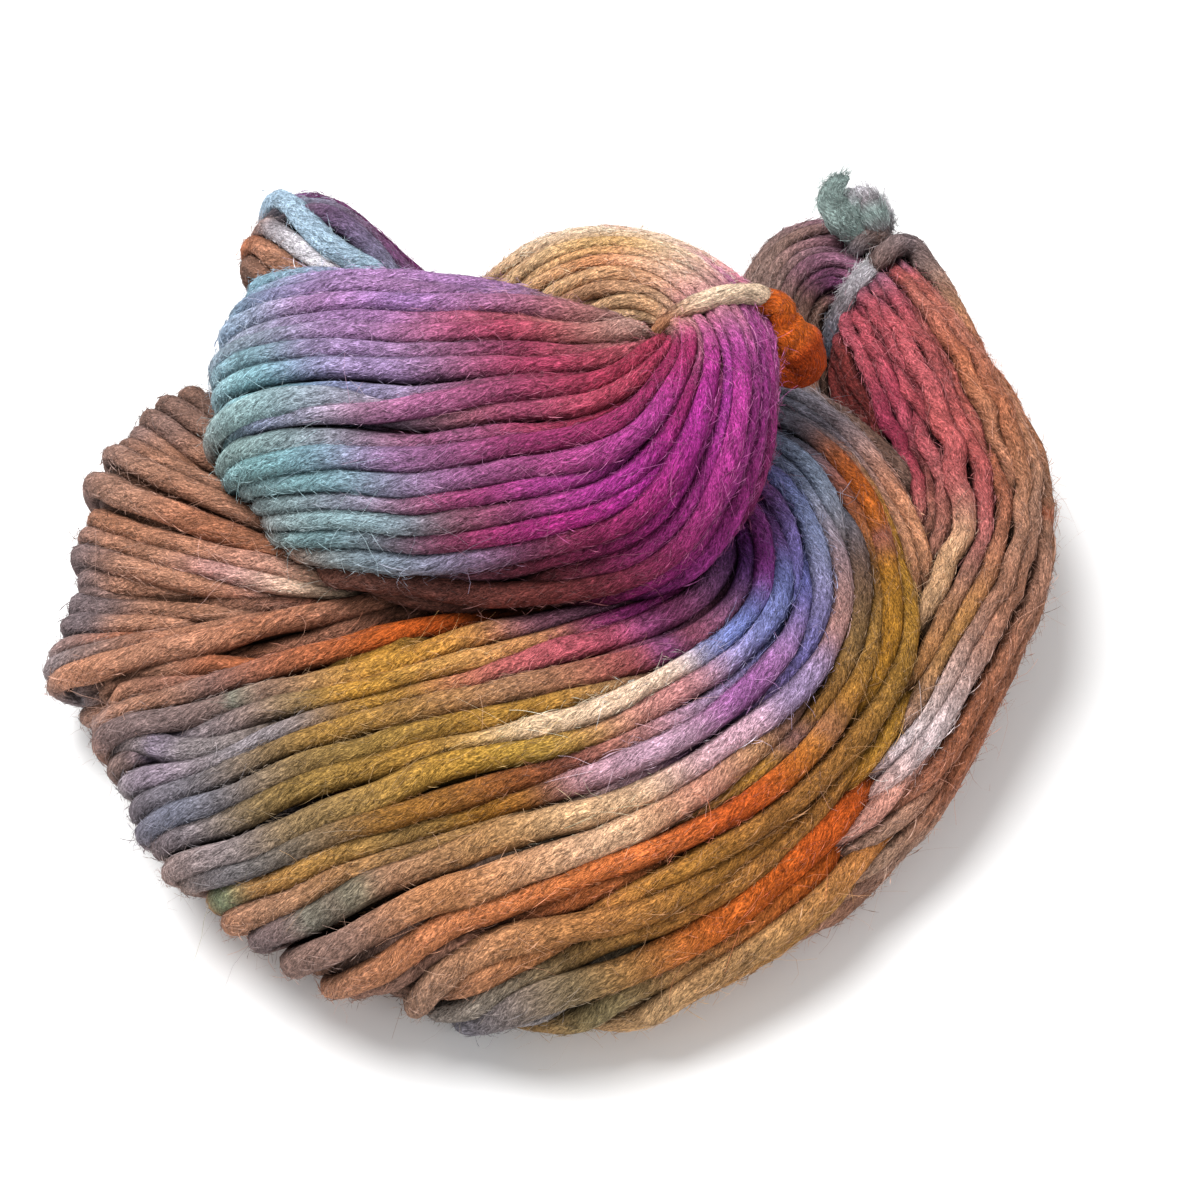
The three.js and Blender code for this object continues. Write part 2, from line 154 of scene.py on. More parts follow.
# ---- dyes: each is one colour of the dye bath, as display red, green and blue ------------------------------------
DYES = {
    "white": (234, 230, 236), "cream": (232, 208, 184), "beige": (212, 178, 142), "tan": (188, 144, 116),
    "sand": (196, 152, 98), "taupe": (152, 128, 120), "greytaupe": (136, 122, 124), "grey": (158, 150, 154),
    "slate": (126, 132, 150), "steel": (170, 190, 206), "aqua": (144, 190, 198), "teal": (112, 170, 168),
    "green": (86, 134, 116), "sage": (136, 130, 106), "periwinkle": (136, 146, 196), "violet": (120, 122, 180), "blossom": (210, 178, 198), "brick": (160, 80, 66),
    "indigo": (84, 74, 146), "lavender": (166, 150, 186), "lilac": (172, 134, 176), "orchid": (176, 90, 160), "blush": (188, 108, 106),
    "magenta": (186, 66, 158), "plum": (120, 58, 108), "raspberry": (160, 62, 92), "rose": (188, 102, 114),
    "pink": (210, 146, 156), "mauve": (172, 128, 150), "maroon": (122, 62, 60), "brown": (180, 138, 116), "peach": (206, 148, 106),
    "umber": (134, 106, 94), "terracotta": (184, 124, 94), "orange": (208, 118, 56), "redorange": (186, 88, 44),
    "pumpkin": (206, 110, 48), "gold": (190, 148, 74), "mustard": (174, 130, 58), "ochre": (174, 126, 74), "olive": (152, 128, 82),
    "yellow": (214, 178, 92), "charcoal": (84, 80, 92), "dusk": (170, 188, 184),
}
# where each dye was poured, and a few pours of painted shade marked below: its place in the picture's frame (1200 wide,
# 1199 high), half length along the strands and half width across them in millimetres
POURS = {
    "bundle": [
        # crown, from its left end to its neck
        ("aqua", 236, 290, 14, 6), ("steel", 215, 380, 20, 9), ("aqua", 222, 430, 20, 9), ("teal", 250, 470, 16, 6),
        ("aqua", 258, 402, 20, 5), ("lavender", 335, 402, 16, 4), ("teal", 250, 441, 18, 5), ("aqua", 272, 506, 16, 5), ("lavender", 285, 288, 20, 5), ("lilac", 345, 293, 24, 5), ("lilac", 430, 300, 26, 6),
        ("rose", 500, 315, 24, 6), ("raspberry", 575, 332, 24, 6), ("rose", 630, 346, 18, 6),
        ("steel", 236, 325, 14, 6), ("lilac", 290, 322, 22, 5), ("lilac", 380, 330, 26, 6), ("raspberry", 480, 340, 24, 5),
        ("raspberry", 560, 360, 26, 6), ("aqua", 228, 358, 16, 7), ("teal", 262, 352, 12, 5), ("lavender", 320, 352, 22, 5),
        ("lavender", 400, 366, 24, 6), ("raspberry", 500, 380, 28, 7), ("raspberry", 600, 372, 22, 6),
        ("aqua", 232, 392, 18, 6), ("teal", 286, 386, 14, 5), ("periwinkle", 330, 384, 12, 5), ("lavender", 372, 390, 20, 5),
        ("lilac", 425, 400, 18, 5), ("raspberry", 520, 408, 30, 7), ("rose", 600, 396, 18, 5),
        ("aqua", 240, 425, 18, 6), ("aqua", 300, 415, 18, 5), ("steel", 345, 425, 14, 5), ("lavender", 390, 430, 20, 5),
        ("rose", 450, 428, 22, 5), ("raspberry", 540, 432, 26, 6), ("raspberry", 610, 412, 20, 6),
        ("aqua", 262, 456, 18, 6), ("teal", 318, 450, 14, 5), ("lavender", 380, 462, 22, 5), ("lilac", 440, 468, 20, 5),
        ("plum", 490, 462, 16, 5), ("raspberry", 550, 458, 24, 6), ("orchid", 610, 440, 22, 6),
        ("aqua", 285, 490, 20, 6), ("teal", 325, 488, 12, 4), ("lavender", 385, 496, 20, 5), ("raspberry", 470, 485, 18, 5),
        ("orchid", 560, 490, 26, 6), ("magenta", 630, 460, 24, 6), ("aqua", 315, 520, 18, 5), ("steel", 365, 525, 16, 5),
        ("greytaupe", 450, 530, 24, 4), ("raspberry", 500, 515, 18, 5), ("magenta", 590, 505, 22, 6),
        ("teal", 365, 562, 20, 5), ("teal", 330, 545, 18, 5), ("lavender", 425, 560, 20, 5), ("plum", 480, 560, 18, 5),
        # the maroon along the crown's lower edge is painted shade, where the magenta strands run in under it
        ("maroon", 545, 565, 26, 5), ("raspberry", 600, 540, 20, 5), ("maroon", 500, 585, 30, 6), ("maroon", 620, 575, 24, 5), ("magenta", 660, 520, 24, 7),
        ("magenta", 700, 480, 30, 9), ("magenta", 720, 400, 30, 9), ("orchid", 745, 440, 26, 8), ("magenta", 745, 520, 22, 8),
        ("raspberry", 690, 370, 14, 9), ("orchid", 750, 350, 18, 8), ("magenta", 690, 560, 20, 7),
        # crown rise
        ("beige", 528, 262, 18, 6), ("beige", 570, 246, 22, 5), ("cream", 640, 240, 24, 5), ("yellow", 600, 240, 18, 3), ("cream", 690, 256, 18, 5),
        ("pink", 718, 278, 14, 6), ("orchid", 740, 300, 12, 7), ("beige", 560, 275, 20, 5), ("orange", 605, 262, 18, 3.5),
        ("cream", 655, 268, 16, 4), ("beige", 690, 285, 16, 5), ("beige", 560, 295, 22, 5), ("tan", 610, 290, 20, 5),
        ("beige", 645, 305, 18, 5), ("cream", 640, 330, 18, 6), ("pink", 690, 315, 14, 6), ("taupe", 590, 318, 20, 6),
        # collar and the fan's first turns
        ("slate", 800, 412, 18, 5), ("grey", 845, 430, 20, 5), ("slate", 795, 460, 18, 5), ("steel", 810, 490, 16, 5),
        ("periwinkle", 790, 520, 18, 6), ("periwinkle", 826, 540, 20, 5), ("violet", 800, 585, 22, 6),
        ("periwinkle", 770, 620, 16, 6), ("indigo", 752, 560, 16, 6), ("orchid", 700, 575, 16, 4), ("plum", 735, 545, 14, 4),
        ("lilac", 720, 615, 18, 5), ("magenta", 650, 600, 24, 4), ("brick", 700, 626, 16, 4), ("indigo", 668, 652, 7, 5),
        ("mauve", 590, 606, 20, 4), ("rose", 630, 665, 16, 4), ("lilac", 765, 668, 16, 5), ("orchid", 760, 690, 10, 4),
        ("blossom", 700, 712, 14, 4), ("pink", 655, 712, 14, 4), ("blossom", 712, 752, 16, 4), ("lavender", 800, 690, 10, 4),
        ("cream", 612, 832, 16, 4), ("blossom", 655, 745, 12, 4), ("mauve", 690, 790, 14, 4), ("indigo", 892, 545, 2.5, 2), ("indigo", 785, 745, 6, 4),
        # orange strand on the fan's inner edge
        ("orange", 505, 616, 28, 3.2), ("redorange", 450, 624, 22, 3.2), ("orange", 385, 642, 22, 3.2),
        ("terracotta", 315, 664, 16, 3.2),
        # fan, middle
        ("rose", 560, 650, 20, 4), ("tan", 500, 655, 18, 4), ("gold", 430, 665, 30, 5), ("gold", 350, 692, 24, 5), ("greytaupe", 255, 720, 14, 4),
        ("sage", 298, 700, 10, 3), ("green", 247, 704, 2, 2), ("tan", 555, 690, 22, 4), ("gold", 470, 715, 30, 5),
        ("olive", 380, 735, 26, 5), ("olive", 300, 765, 18, 5), ("cream", 605, 712, 20, 4), ("yellow", 530, 745, 24, 4),
        ("gold", 450, 770, 26, 5), ("olive", 350, 800, 24, 5), ("brown", 640, 740, 14, 3), ("maroon", 560, 765, 26, 4),
        ("maroon", 500, 795, 22, 4), ("mustard", 430, 812, 26, 5), ("gold", 360, 852, 24, 5), ("sage", 300, 850, 16, 5),
        ("cream", 610, 800, 18, 4), ("sand", 560, 820, 22, 5), ("olive", 480, 845, 22, 5), ("brown", 430, 872, 22, 5),
        ("beige", 395, 895, 20, 4), ("green", 358, 906, 4, 3), ("green", 318, 926, 4, 3), ("peach", 560, 870, 26, 5),
        ("orange", 500, 900, 26, 5), ("peach", 450, 930, 26, 5), ("tan", 400, 955, 26, 5),
        ("sand", 700, 800, 20, 5), ("orange", 640, 850, 24, 4), ("peach", 590, 880, 22, 5), ("gold", 760, 770, 20, 5),
        ("redorange", 740, 815, 24, 4), ("ochre", 780, 840, 20, 4), ("mustard", 650, 900, 22, 5), ("peach", 560, 930, 26, 5),
        # fan, left end
        ("brown", 105, 712, 14, 6), ("greytaupe", 150, 712, 18, 5), ("lavender", 164, 738, 4, 3), ("taupe", 205, 712, 16, 4),
        ("taupe", 105, 770, 14, 5), ("grey", 90, 740, 8, 4), ("grey", 180, 760, 20, 5), ("grey", 245, 745, 16, 4), ("grey", 130, 790, 14, 4), ("lavender", 150, 770, 6, 2), ("greytaupe", 130, 820, 18, 6),
        ("slate", 215, 800, 20, 5), ("grey", 260, 830, 16, 5), ("grey", 200, 850, 16, 4), ("taupe", 160, 880, 18, 6),
        ("slate", 265, 875, 18, 5), ("green", 236, 905, 4, 3), ("brown", 220, 925, 18, 6), ("umber", 190, 850, 10, 4),
        ("taupe", 290, 950, 20, 6), ("brown", 330, 975, 20, 6), ("taupe", 390, 985, 20, 5), ("greytaupe", 280, 920, 16, 4),
        # fan, outer strands and its bottom
        ("orange", 800, 860, 26, 5), ("redorange", 838, 822, 18, 4), ("orange", 770, 905, 22, 4), ("ochre", 700, 905, 26, 6),
        ("olive", 620, 950, 26, 5), ("olive", 560, 965, 26, 5), ("sage", 500, 985, 20, 5), ("grey", 470, 1005, 18, 5),
        ("slate", 530, 1020, 20, 5), ("sand", 660, 985, 26, 5), ("beige", 700, 1000, 22, 5), ("green", 595, 1000, 6, 4),
        ("sage", 610, 1015, 18, 5), ("sand", 740, 960, 22, 6),
        # fan, right side, from the collar down
        ("redorange", 868, 520, 14, 4), ("brown", 845, 560, 18, 4), ("umber", 862, 590, 18, 4), ("tan", 905, 510, 20, 4),
        ("mustard", 880, 600, 24, 4), ("gold", 905, 575, 20, 4), ("mustard", 915, 640, 24, 5), ("olive", 850, 655, 20, 5),
        ("ochre", 820, 700, 22, 5), ("mustard", 870, 700, 24, 5), ("orange", 868, 795, 14, 4), ("ochre", 835, 758, 18, 4), ("gold", 890, 735, 16, 4),
        ("beige", 940, 560, 18, 4), ("ochre", 935, 620, 22, 4), ("olive", 900, 690, 20, 4), ("tan", 925, 540, 18, 4), ("gold", 955, 620, 14, 4),
        # right lobe
        ("mauve", 885, 270, 12, 5), ("rose", 905, 290, 14, 5), ("rose", 870, 330, 18, 5), ("blush", 930, 310, 20, 6), ("rose", 900, 370, 22, 6),
        ("blush", 945, 365, 22, 6), ("raspberry", 905, 420, 20, 5), ("blush", 945, 430, 22, 6), ("terracotta", 975, 370, 20, 6), ("brown", 965, 330, 16, 5),
        ("terracotta", 1000, 400, 22, 6), ("tan", 1030, 450, 26, 7), ("rose", 925, 460, 18, 5), ("blush", 975, 470, 20, 5), ("terracotta", 1005, 470, 20, 5),
        # the maroon at the hollow by the right neck is painted shade
        ("umber", 890, 450, 16, 4), ("maroon", 858, 400, 14, 5), ("terracotta", 880, 480, 18, 4), ("brown", 935, 500, 20, 4), ("rose", 985, 520, 18, 4), ("tan", 1005, 545, 22, 5),
        ("taupe", 1030, 540, 22, 6), ("terracotta", 1000, 600, 24, 6), ("taupe", 960, 580, 24, 5), ("tan", 975, 640, 22, 5),
        ("brown", 1020, 640, 24, 6), ("terracotta", 985, 690, 24, 6), ("terracotta", 950, 740, 24, 6), ("brown", 945, 665, 18, 4),
        ("white", 930, 700, 20, 3.2), ("white", 912, 760, 20, 3.2), ("cream", 880, 850, 12, 3.2), ("taupe", 880, 850, 20, 5), ("terracotta", 900, 840, 20, 5),
        ("brown", 850, 905, 22, 6), ("redorange", 1045, 516, 2, 2),
        # back arcs, between the right neck and the cross pass
        ("taupe", 765, 285, 18, 6), ("taupe", 790, 245, 18, 6), ("mauve", 830, 235, 16, 6), ("umber", 795, 300, 18, 5),
        ("plum", 835, 280, 12, 6), ("umber", 815, 330, 18, 6), ("mauve", 840, 250, 12, 5),
        # left lobe
        ("umber", 205, 385, 22, 6), ("umber", 160, 400, 20, 6), ("taupe", 135, 415, 20, 6), ("brown", 205, 430, 22, 6),
        ("brown", 150, 450, 24, 7), ("taupe", 100, 455, 14, 7), ("brown", 180, 480, 26, 7), ("brown", 120, 500, 26, 7),
        ("greytaupe", 80, 500, 12, 7), ("terracotta", 215, 520, 16, 6), ("brown", 150, 540, 26, 7), ("greytaupe", 80, 560, 12, 8), ("greytaupe", 130, 425, 12, 6), ("taupe", 105, 470, 12, 6),
        ("brown", 270, 500, 26, 6), ("tan", 262, 562, 14, 4), ("cream", 272, 582, 14, 4), ("pink", 232, 574, 12, 4),
        ("brown", 150, 585, 24, 6), ("greytaupe", 60, 600, 12, 7), ("brown", 300, 560, 22, 6), ("brown", 240, 450, 22, 6),
        # cross pass, low in the heap's middle: its maroon and umber are painted shade, under the crown's front edge
        ("maroon", 600, 590, 60, 12), ("umber", 430, 600, 40, 12),
    ],
    "bow": [
        ("steel", 292, 196, 16, 6), ("steel", 320, 240, 24, 5), ("steel", 385, 268, 22, 5), ("plum", 320, 200, 16, 6),
        ("plum", 355, 225, 20, 6), ("plum", 385, 250, 20, 6), ("grey", 275, 222, 12, 5), ("brown", 318, 258, 18, 5),
        ("terracotta", 256, 245, 14, 5), ("brown", 290, 272, 16, 5),
    ],
    "crossing": [
        ("terracotta", 300, 606, 30, 8), ("brown", 200, 618, 30, 6), ("terracotta", 120, 622, 26, 6), ("brown", 250, 640, 30, 6),
        ("umber", 370, 606, 30, 10), ("brown", 130, 660, 26, 6), ("grey", 55, 650, 14, 12), ("grey", 45, 665, 14, 12),
        ("taupe", 90, 645, 14, 8), ("umber", 180, 690, 26, 8),
    ],
}

rng = np.random.default_rng(SEED)

# ---- camera -----------------------------------------------------------------------------------------------------
ELEVATION = math.radians(52)
DISTANCE, PER_PIXEL = 600.0, 0.29            # mm, mm a pixel at the target
TARGET = np.array([17.0, 20.0, 45.0])
LOOK = np.array([0, math.cos(ELEVATION), -math.sin(ELEVATION)])
UPWARD = np.array([0, math.sin(ELEVATION), math.cos(ELEVATION)])
EYE = TARGET - LOOK * DISTANCE
FOCAL = DISTANCE / PER_PIXEL                 # in pixels of the 1200 wide frame


def project(points):
    d = points - EYE
    z = d @ LOOK
    return 600 + FOCAL * d[..., 0] / z, 599.5 - FOCAL * (d @ UPWARD) / z, z


def unproject(px, py, height):
    """The point at a height (mm) that shows at a pixel."""
    ray = LOOK + np.array([1.0, 0, 0]) * ((px - 600) / FOCAL) + UPWARD * ((599.5 - py) / FOCAL)
    return EYE + ray * ((height - EYE[2]) / ray[2])


# ---- the bundle's skin ------------------------------------------------------------------------------------------
def unit(v):
    return v / (np.linalg.norm(v, axis=-1, keepdims=True) + 1e-9)


def catmull(rows, n):
    P = np.asarray(rows, float)
    m, out = len(P), []
    for i in range(m - 1):
        p0 = P[i - 1] if i > 0 else 2 * P[0] - P[1]
        p1, p2 = P[i], P[i + 1]
        p3 = P[i + 2] if i + 2 < m else 2 * P[m - 1] - P[m - 2]
        d1, d2, d3 = [max(np.linalg.norm(q[:9]) ** 0.5, 1e-3) for q in (p1 - p0, p2 - p1, p3 - p2)]
        m1 = ((p1 - p0) / d1 - (p2 - p0) / (d1 + d2) + (p2 - p1) / d2) * d2
        m2 = ((p2 - p1) / d2 - (p3 - p1) / (d2 + d3) + (p3 - p2) / d3) * d2
        t = np.linspace(0, 1, n, endpoint=False)[:, None]
        out.append((2 * t**3 - 3 * t**2 + 1) * p1 + (t**3 - 2 * t**2 + t) * m1
                   + (3 * t**2 - 2 * t**3) * p2 + (t**3 - t**2) * m2)
    out.append(P[-1][None])
    return np.concatenate(out)


def stations_of(table, step=None, count=None):
    """Evenly spaced sections along a table's path, and where each table row falls among them."""
    rows = np.array([r[1:] for r in table], float)
    n = 24
    D = catmull(rows, n)
    gap = np.mean([np.linalg.norm(np.diff(D[:, c:c + 3], axis=0), axis=1) for c in (0, 3, 6)], axis=0)
    run = np.concatenate([[0], np.cumsum(gap)])
    count = count or int(round(run[-1] / step))
    want = np.linspace(0, run[-1], count + 1)
    S = np.stack([np.interp(want, run, D[:, c]) for c in range(D.shape[1])], 1)
    at_row = {r[0]: run[i * n] / run[-1] * count for i, r in enumerate(table)}
    return S, at_row


def bowed(A, M, B, t):
    return A * ((2 * t - 1) * (t - 1))[..., None] + M * (4 * t * (1 - t))[..., None] + B * (t * (2 * t - 1))[..., None]


def bowed_run(A, M, B, t):
    return A * (4 * t - 3)[..., None] + M * (4 - 8 * t)[..., None] + B * (4 * t - 1)[..., None]


def skin(S, place, inset):
    """Points on the skin: place[k, i] is a part of the way round section k, inset[k, i] how deep below the skin."""
    K = len(S)
    A, M, B, half, roll = S[:, None, 0:3], S[:, None, 3:6], S[:, None, 6:9], S[:, 9], S[:, 10]
    phi = np.linspace(0, 2 * np.pi, 97)[None].repeat(K, 0)
    t = (1 - np.cos(phi)) / 2
    Q, dQ = bowed(A, M, B, t), bowed_run(A, M, B, t)
    n = unit(np.cross(np.gradient(Q, axis=0), dQ))
    nm = unit(np.cross(np.gradient(M[:, 0], axis=0), (B - A)[:, 0]))[:, None]
    n = unit(0.5 * n + 0.5 * nm)
    P = Q + n * (np.sin(phi) * half[:, None])[..., None]
    run = np.concatenate([np.zeros((K, 1)), np.cumsum(np.linalg.norm(np.diff(P, axis=1), axis=-1), 1)], 1)
    girth = run[:, -1]
    area = 0.5 * np.linalg.norm(np.cross(P[:, :-1] - P.mean(1, keepdims=True),
                                         P[:, 1:] - P.mean(1, keepdims=True)).sum(1), axis=-1)
    dT, dR = np.gradient(P[:, :-1], axis=0), np.roll(P[:, :-1], -1, 1) - np.roll(P[:, :-1], 1, 1)
    out = unit(np.cross(dR, dT))
    centre = P[:, :-1].mean(1, keepdims=True)
    flip = np.sign(((P[:, :-1] - centre) * out).sum(-1, keepdims=True))
    out = unit(out * np.where(flip == 0, 1, flip))
    out = np.concatenate([out, out[:, :1]], 1)
    X = np.empty(place.shape + (3,))
    N = np.empty(place.shape + (3,))
    T = np.empty(place.shape)
    for k in range(K):
        want = (place[k] + roll[k]) % 1.0
        part = run[k] / girth[k]
        for c in range(3):
            X[k, :, c] = np.interp(want, part, P[k, :, c])
            N[k, :, c] = np.interp(want, part, out[k, :, c])
        T[k] = np.interp(want, part, t[k])
    N = unit(N)
    return X - N * inset[..., None], N, girth, area, T


def wave(n, count, wavelength, closed=True):
    """n smooth random lines, count samples long, with unit spread. The wavelength is in samples."""
    x = rng.standard_normal((n, count))
    f = np.fft.rfftfreq(count)
    y = np.fft.irfft(np.fft.rfft(x, axis=1) * np.exp(-0.5 * (f * wavelength) ** 2), count, axis=1)
    return y / (y.std() + 1e-9)


# ---- turns of the loop ------------------------------------------------------------------------------------------
class Turns:
    """Strands that run along a path: X is their middle lines, N which way is out, R how thick they are."""

    def __init__(self, name, table, count, depth, closed, step=None, stations=None, wander=0.34, lift=1.1, turn=0.0):
        S, self.rows = stations_of(table, step, stations)
        if closed:
            S = S[:-1]
        self.name, self.S, self.closed = name, S, closed
        K = len(S)
        self.K, self.n = K, count
        even = (np.arange(count) + 0.5 * (depth > 0)) / count
        fade = np.ones(K)
        if closed:                            # the turns hand over to each other in the hidden middle
            edge = np.minimum(np.arange(K), K - 1 - np.arange(K)) / 14.0
            fade = np.clip(edge, 0, 1) ** 2 * (3 - 2 * np.clip(edge, 0, 1))
            shift = int(round(0.75 * count))  # the section has rolled three quarters round by the end
            self.follow = (np.arange(count) + shift) % count
            turn = shift / count - 0.75
        drift = (wander * wave(count, K, 90) + 0.16 * wave(count, K, 26) + 0.07 * wave(count, K, 7)) / count * fade
        place = (even[:, None] + drift + turn * np.linspace(0, 1, K)[None]).T
        if closed:
            at = [self.rows[row[0]] for row in LAY]
            much, side, wound, deep = [np.interp(np.arange(K), at, [row[c] for row in LAY])[:, None] for c in (1, 2, 3, 4)]
            depth = depth * deep / 0.72
            place = place + wound
            place = place - much / (2 * math.pi) * np.sin(2 * math.pi * (place - side))
        _, _, girth, area, _ = skin(S, place, np.zeros((K, count)))
        need = (TURNS_OUT + TURNS_IN) * math.pi * (STRAND / 2) ** 2 if closed else count * math.pi * (STRAND / 2) ** 2
        self.tight = np.clip(np.sqrt(0.86 * area / need), 0.3, 1)
        show = np.clip(self.tight * 1.12, 0.78, 1)
        size = (1 + 0.07 * rng.standard_normal((count, 1)) + 0.05 * wave(count, K, 60) + 0.04 * wave(count, K, 20)
                + 0.04 * wave(count, K, 6))
        self.R = (STRAND / 2) * FLUFF * np.clip(size, 0.8, 1.22).T * show[:, None]
        self.RC = (STRAND / 2) * np.clip(size, 0.8, 1.22).T * self.tight[:, None] * 0.84
        up = (lift * wave(count, K, 70) + 0.45 * wave(count, K, 26) + 0.2 * wave(count, K, 7)).T * fade[:, None] * show[:, None]
        dive = 1.8 * np.clip(wave(count, K, 120).T, 0, 2) * (1 - self.tight[:, None]) * 2
        inset = 0.92 * self.R + depth * np.clip(self.tight, 0.4, 1)[:, None] + np.clip(up, -1.6, 1.6) + dive
        self.X, self.N, self.girth, self.area, self.T = skin(S, place, inset)
        self.place = place
        self.run = np.concatenate([np.zeros((1, count)), np.cumsum(np.linalg.norm(np.diff(self.X, axis=0), axis=-1), 0)])

    def neighbours(self, F):
        """The values one station before and after, across the joints of the turns."""
        before, after = np.empty_like(F), np.empty_like(F)
        before[1:], after[:-1] = F[:-1], F[1:]
        if self.closed:
            back = np.argsort(self.follow)
            before[0], after[-1] = F[-1][back], F[0][self.follow]
        else:
            before[0], after[-1] = F[0], F[-1]
        return before, after


outer = Turns("bundle", BUNDLE, TURNS_OUT, 0.0, True, stations=STATIONS)
inner = Turns("inside", BUNDLE, TURNS_IN, STRAND * 0.72, True, stations=STATIONS)
bow = Turns("bow", BOW, 9, 2.6, False, step=4.5, turn=0.1)
crossing = Turns("crossing", CROSSING, 6, 0.0, False, step=4.0, wander=0.25, turn=0.45)
GROUPS = [outer, inner, bow, crossing]


# ---- the strands press each other aside -------------------------------------------------------------------------
def close_pairs(X, reach):
    low = X.min(0)
    g = np.floor((X - low) / reach).astype(np.int64) + 1
    dims = g.max(0) + 2
    key = (g[:, 0] * dims[1] + g[:, 1]) * dims[2] + g[:, 2]
    order = np.argsort(key, kind="stable")
    ks = key[order]
    I, J = [], []
    steps = [(0, 0, 0), (0, 0, 1)] + [(0, 1, z) for z in (-1, 0, 1)] + [(1, y, z) for y in (-1, 0, 1) for z in (-1, 0, 1)]
    for ox, oy, oz in steps:
        other = ks + (ox * dims[1] + oy) * dims[2] + oz
        lo, hi = np.searchsorted(ks, other, "left"), np.searchsorted(ks, other, "right")
        many = hi - lo
        a = np.repeat(np.arange(len(X)), many)
        b = np.arange(many.sum()) - np.repeat(np.cumsum(many) - many, many) + np.repeat(lo, many)
        if (ox, oy, oz) == (0, 0, 0):
            a, b = a[b > a], b[b > a]
        a, b = order[a], order[b]
        near = ((X[a] - X[b]) ** 2).sum(1) < reach * reach
        I.append(a[near]), J.append(b[near])
    return np.concatenate(I), np.concatenate(J)


def settle(groups, rounds=36, pull=0.05, most=7.0):
    start = [g.X.copy() for g in groups]
    strand_id = np.concatenate([(np.arange(g.K * g.n) % g.n) + 1000 * q for q, g in enumerate(groups)])
    station = np.concatenate([np.arange(g.K * g.n) // g.n for g in groups])
    RC = np.concatenate([g.RC.ravel() for g in groups])
    R = np.concatenate([g.R.ravel() for g in groups])
    I = J = None
    for it in range(rounds):
        X = np.concatenate([g.X.reshape(-1, 3) for g in groups])
        T = np.concatenate([unit(g.neighbours(g.X)[1] - g.neighbours(g.X)[0]).reshape(-1, 3) for g in groups])
        if it % 6 == 0:
            I, J = close_pairs(X, STRAND * 1.35)
            same = (strand_id[I] == strand_id[J]) & (np.abs(station[I] - station[J]) < 7)
            I, J = I[~same], J[~same]
        d = X[I] - X[J]
        far = np.linalg.norm(d, axis=1)
        want = RC[I] + RC[J]
        hit = far < want
        i, j, d, far, want = I[hit], J[hit], d[hit], far[hit], want[hit]
        t = unit(T[i] + T[j] * np.sign((T[i] * T[j]).sum(1, keepdims=True)))
        side = d - t * (d * t).sum(1, keepdims=True)
        side = unit(side + 1e-4)
        push = side * ((want - far) * 0.32)[:, None]
        move = np.zeros_like(X)
        for c in range(3):
            move[:, c] = np.bincount(i, push[:, c], len(X)) - np.bincount(j, push[:, c], len(X))
        size = np.linalg.norm(move, axis=1, keepdims=True)
        move *= np.minimum(1, 1.2 / (size + 1e-9))
        X = X + move
        at = 0
        for g, home in zip(groups, start):
            m = g.K * g.n
            D = X[at:at + m].reshape(g.K, g.n, 3) - home
            for _ in range(2):
                b, a = g.neighbours(D)
                D = 0.5 * D + 0.25 * (a + b)
            D *= 1 - pull
            size = np.linalg.norm(D, axis=-1, keepdims=True)
            D *= np.minimum(1, most / (size + 1e-9))
            g.X = home + D
            g.X[..., 2] = np.maximum(g.X[..., 2], ORIGIN[2] + g.R * 0.93)
            at += m
    for g in groups:
        for _ in range(4):
            b, a = g.neighbours(g.X)
            g.X = 0.5 * g.X + 0.25 * (a + b)
        g.X[..., 2] = np.maximum(g.X[..., 2], ORIGIN[2] + g.R * 0.93)


settle(GROUPS)


def crimp(g, first, last, most):
    """Strands left wavy between two rows of the table, where they were tied tight."""
    a, b = g.rows[first], g.rows[last]
    much = most * np.sin(math.pi * np.clip((np.arange(g.K) - a) / (b - a), 0, 1))[:, None, None] ** 0.7
    before, after = g.neighbours(g.X)
    side = np.cross(unit(after - before), g.N)
    g.X = g.X + much * (side * wave(g.n, g.K, 5).T[..., None] + 0.5 * g.N * wave(g.n, g.K, 4).T[..., None])


crimp(outer, "right lobe 2", "right neck", 0.85)


def pressed(g, least=0.92, most=1.32):
    """How much wider than thick each strand lies, pressed flat against the strands beside it."""
    near = np.minimum(np.linalg.norm(g.X - np.roll(g.X, -1, 1), axis=-1), 13.0)
    wide = 0.25 * (near + np.roll(near, 1, 1)) * 1.06 / g.R
    for _ in range(4):
        before, after = g.neighbours(wide)
        wide = 0.5 * wide + 0.25 * (before + after)
    a, b = g.rows["front fan 6"], g.rows["front return 2"]      # rounder again where they turn back
    most = most - 0.22 * np.sin(math.pi * np.clip((np.arange(g.K) - a) / (b - a), 0, 1))[:, None]
    return np.clip(wide, least, most)


outer.W, inner.W = pressed(outer), pressed(inner)

# ---- dye --------------------------------------------------------------------------------------------------------
def linear(rgb):
    c = np.asarray(rgb, float) / 255
    return np.where(c <= 0.04045, c / 12.92, ((c + 0.055) / 1.055) ** 2.4)


DYE = {name: 0.88 * linear(rgb) ** 1.22 for name, rgb in DYES.items()}   # as deep as wet-dyed wool looks


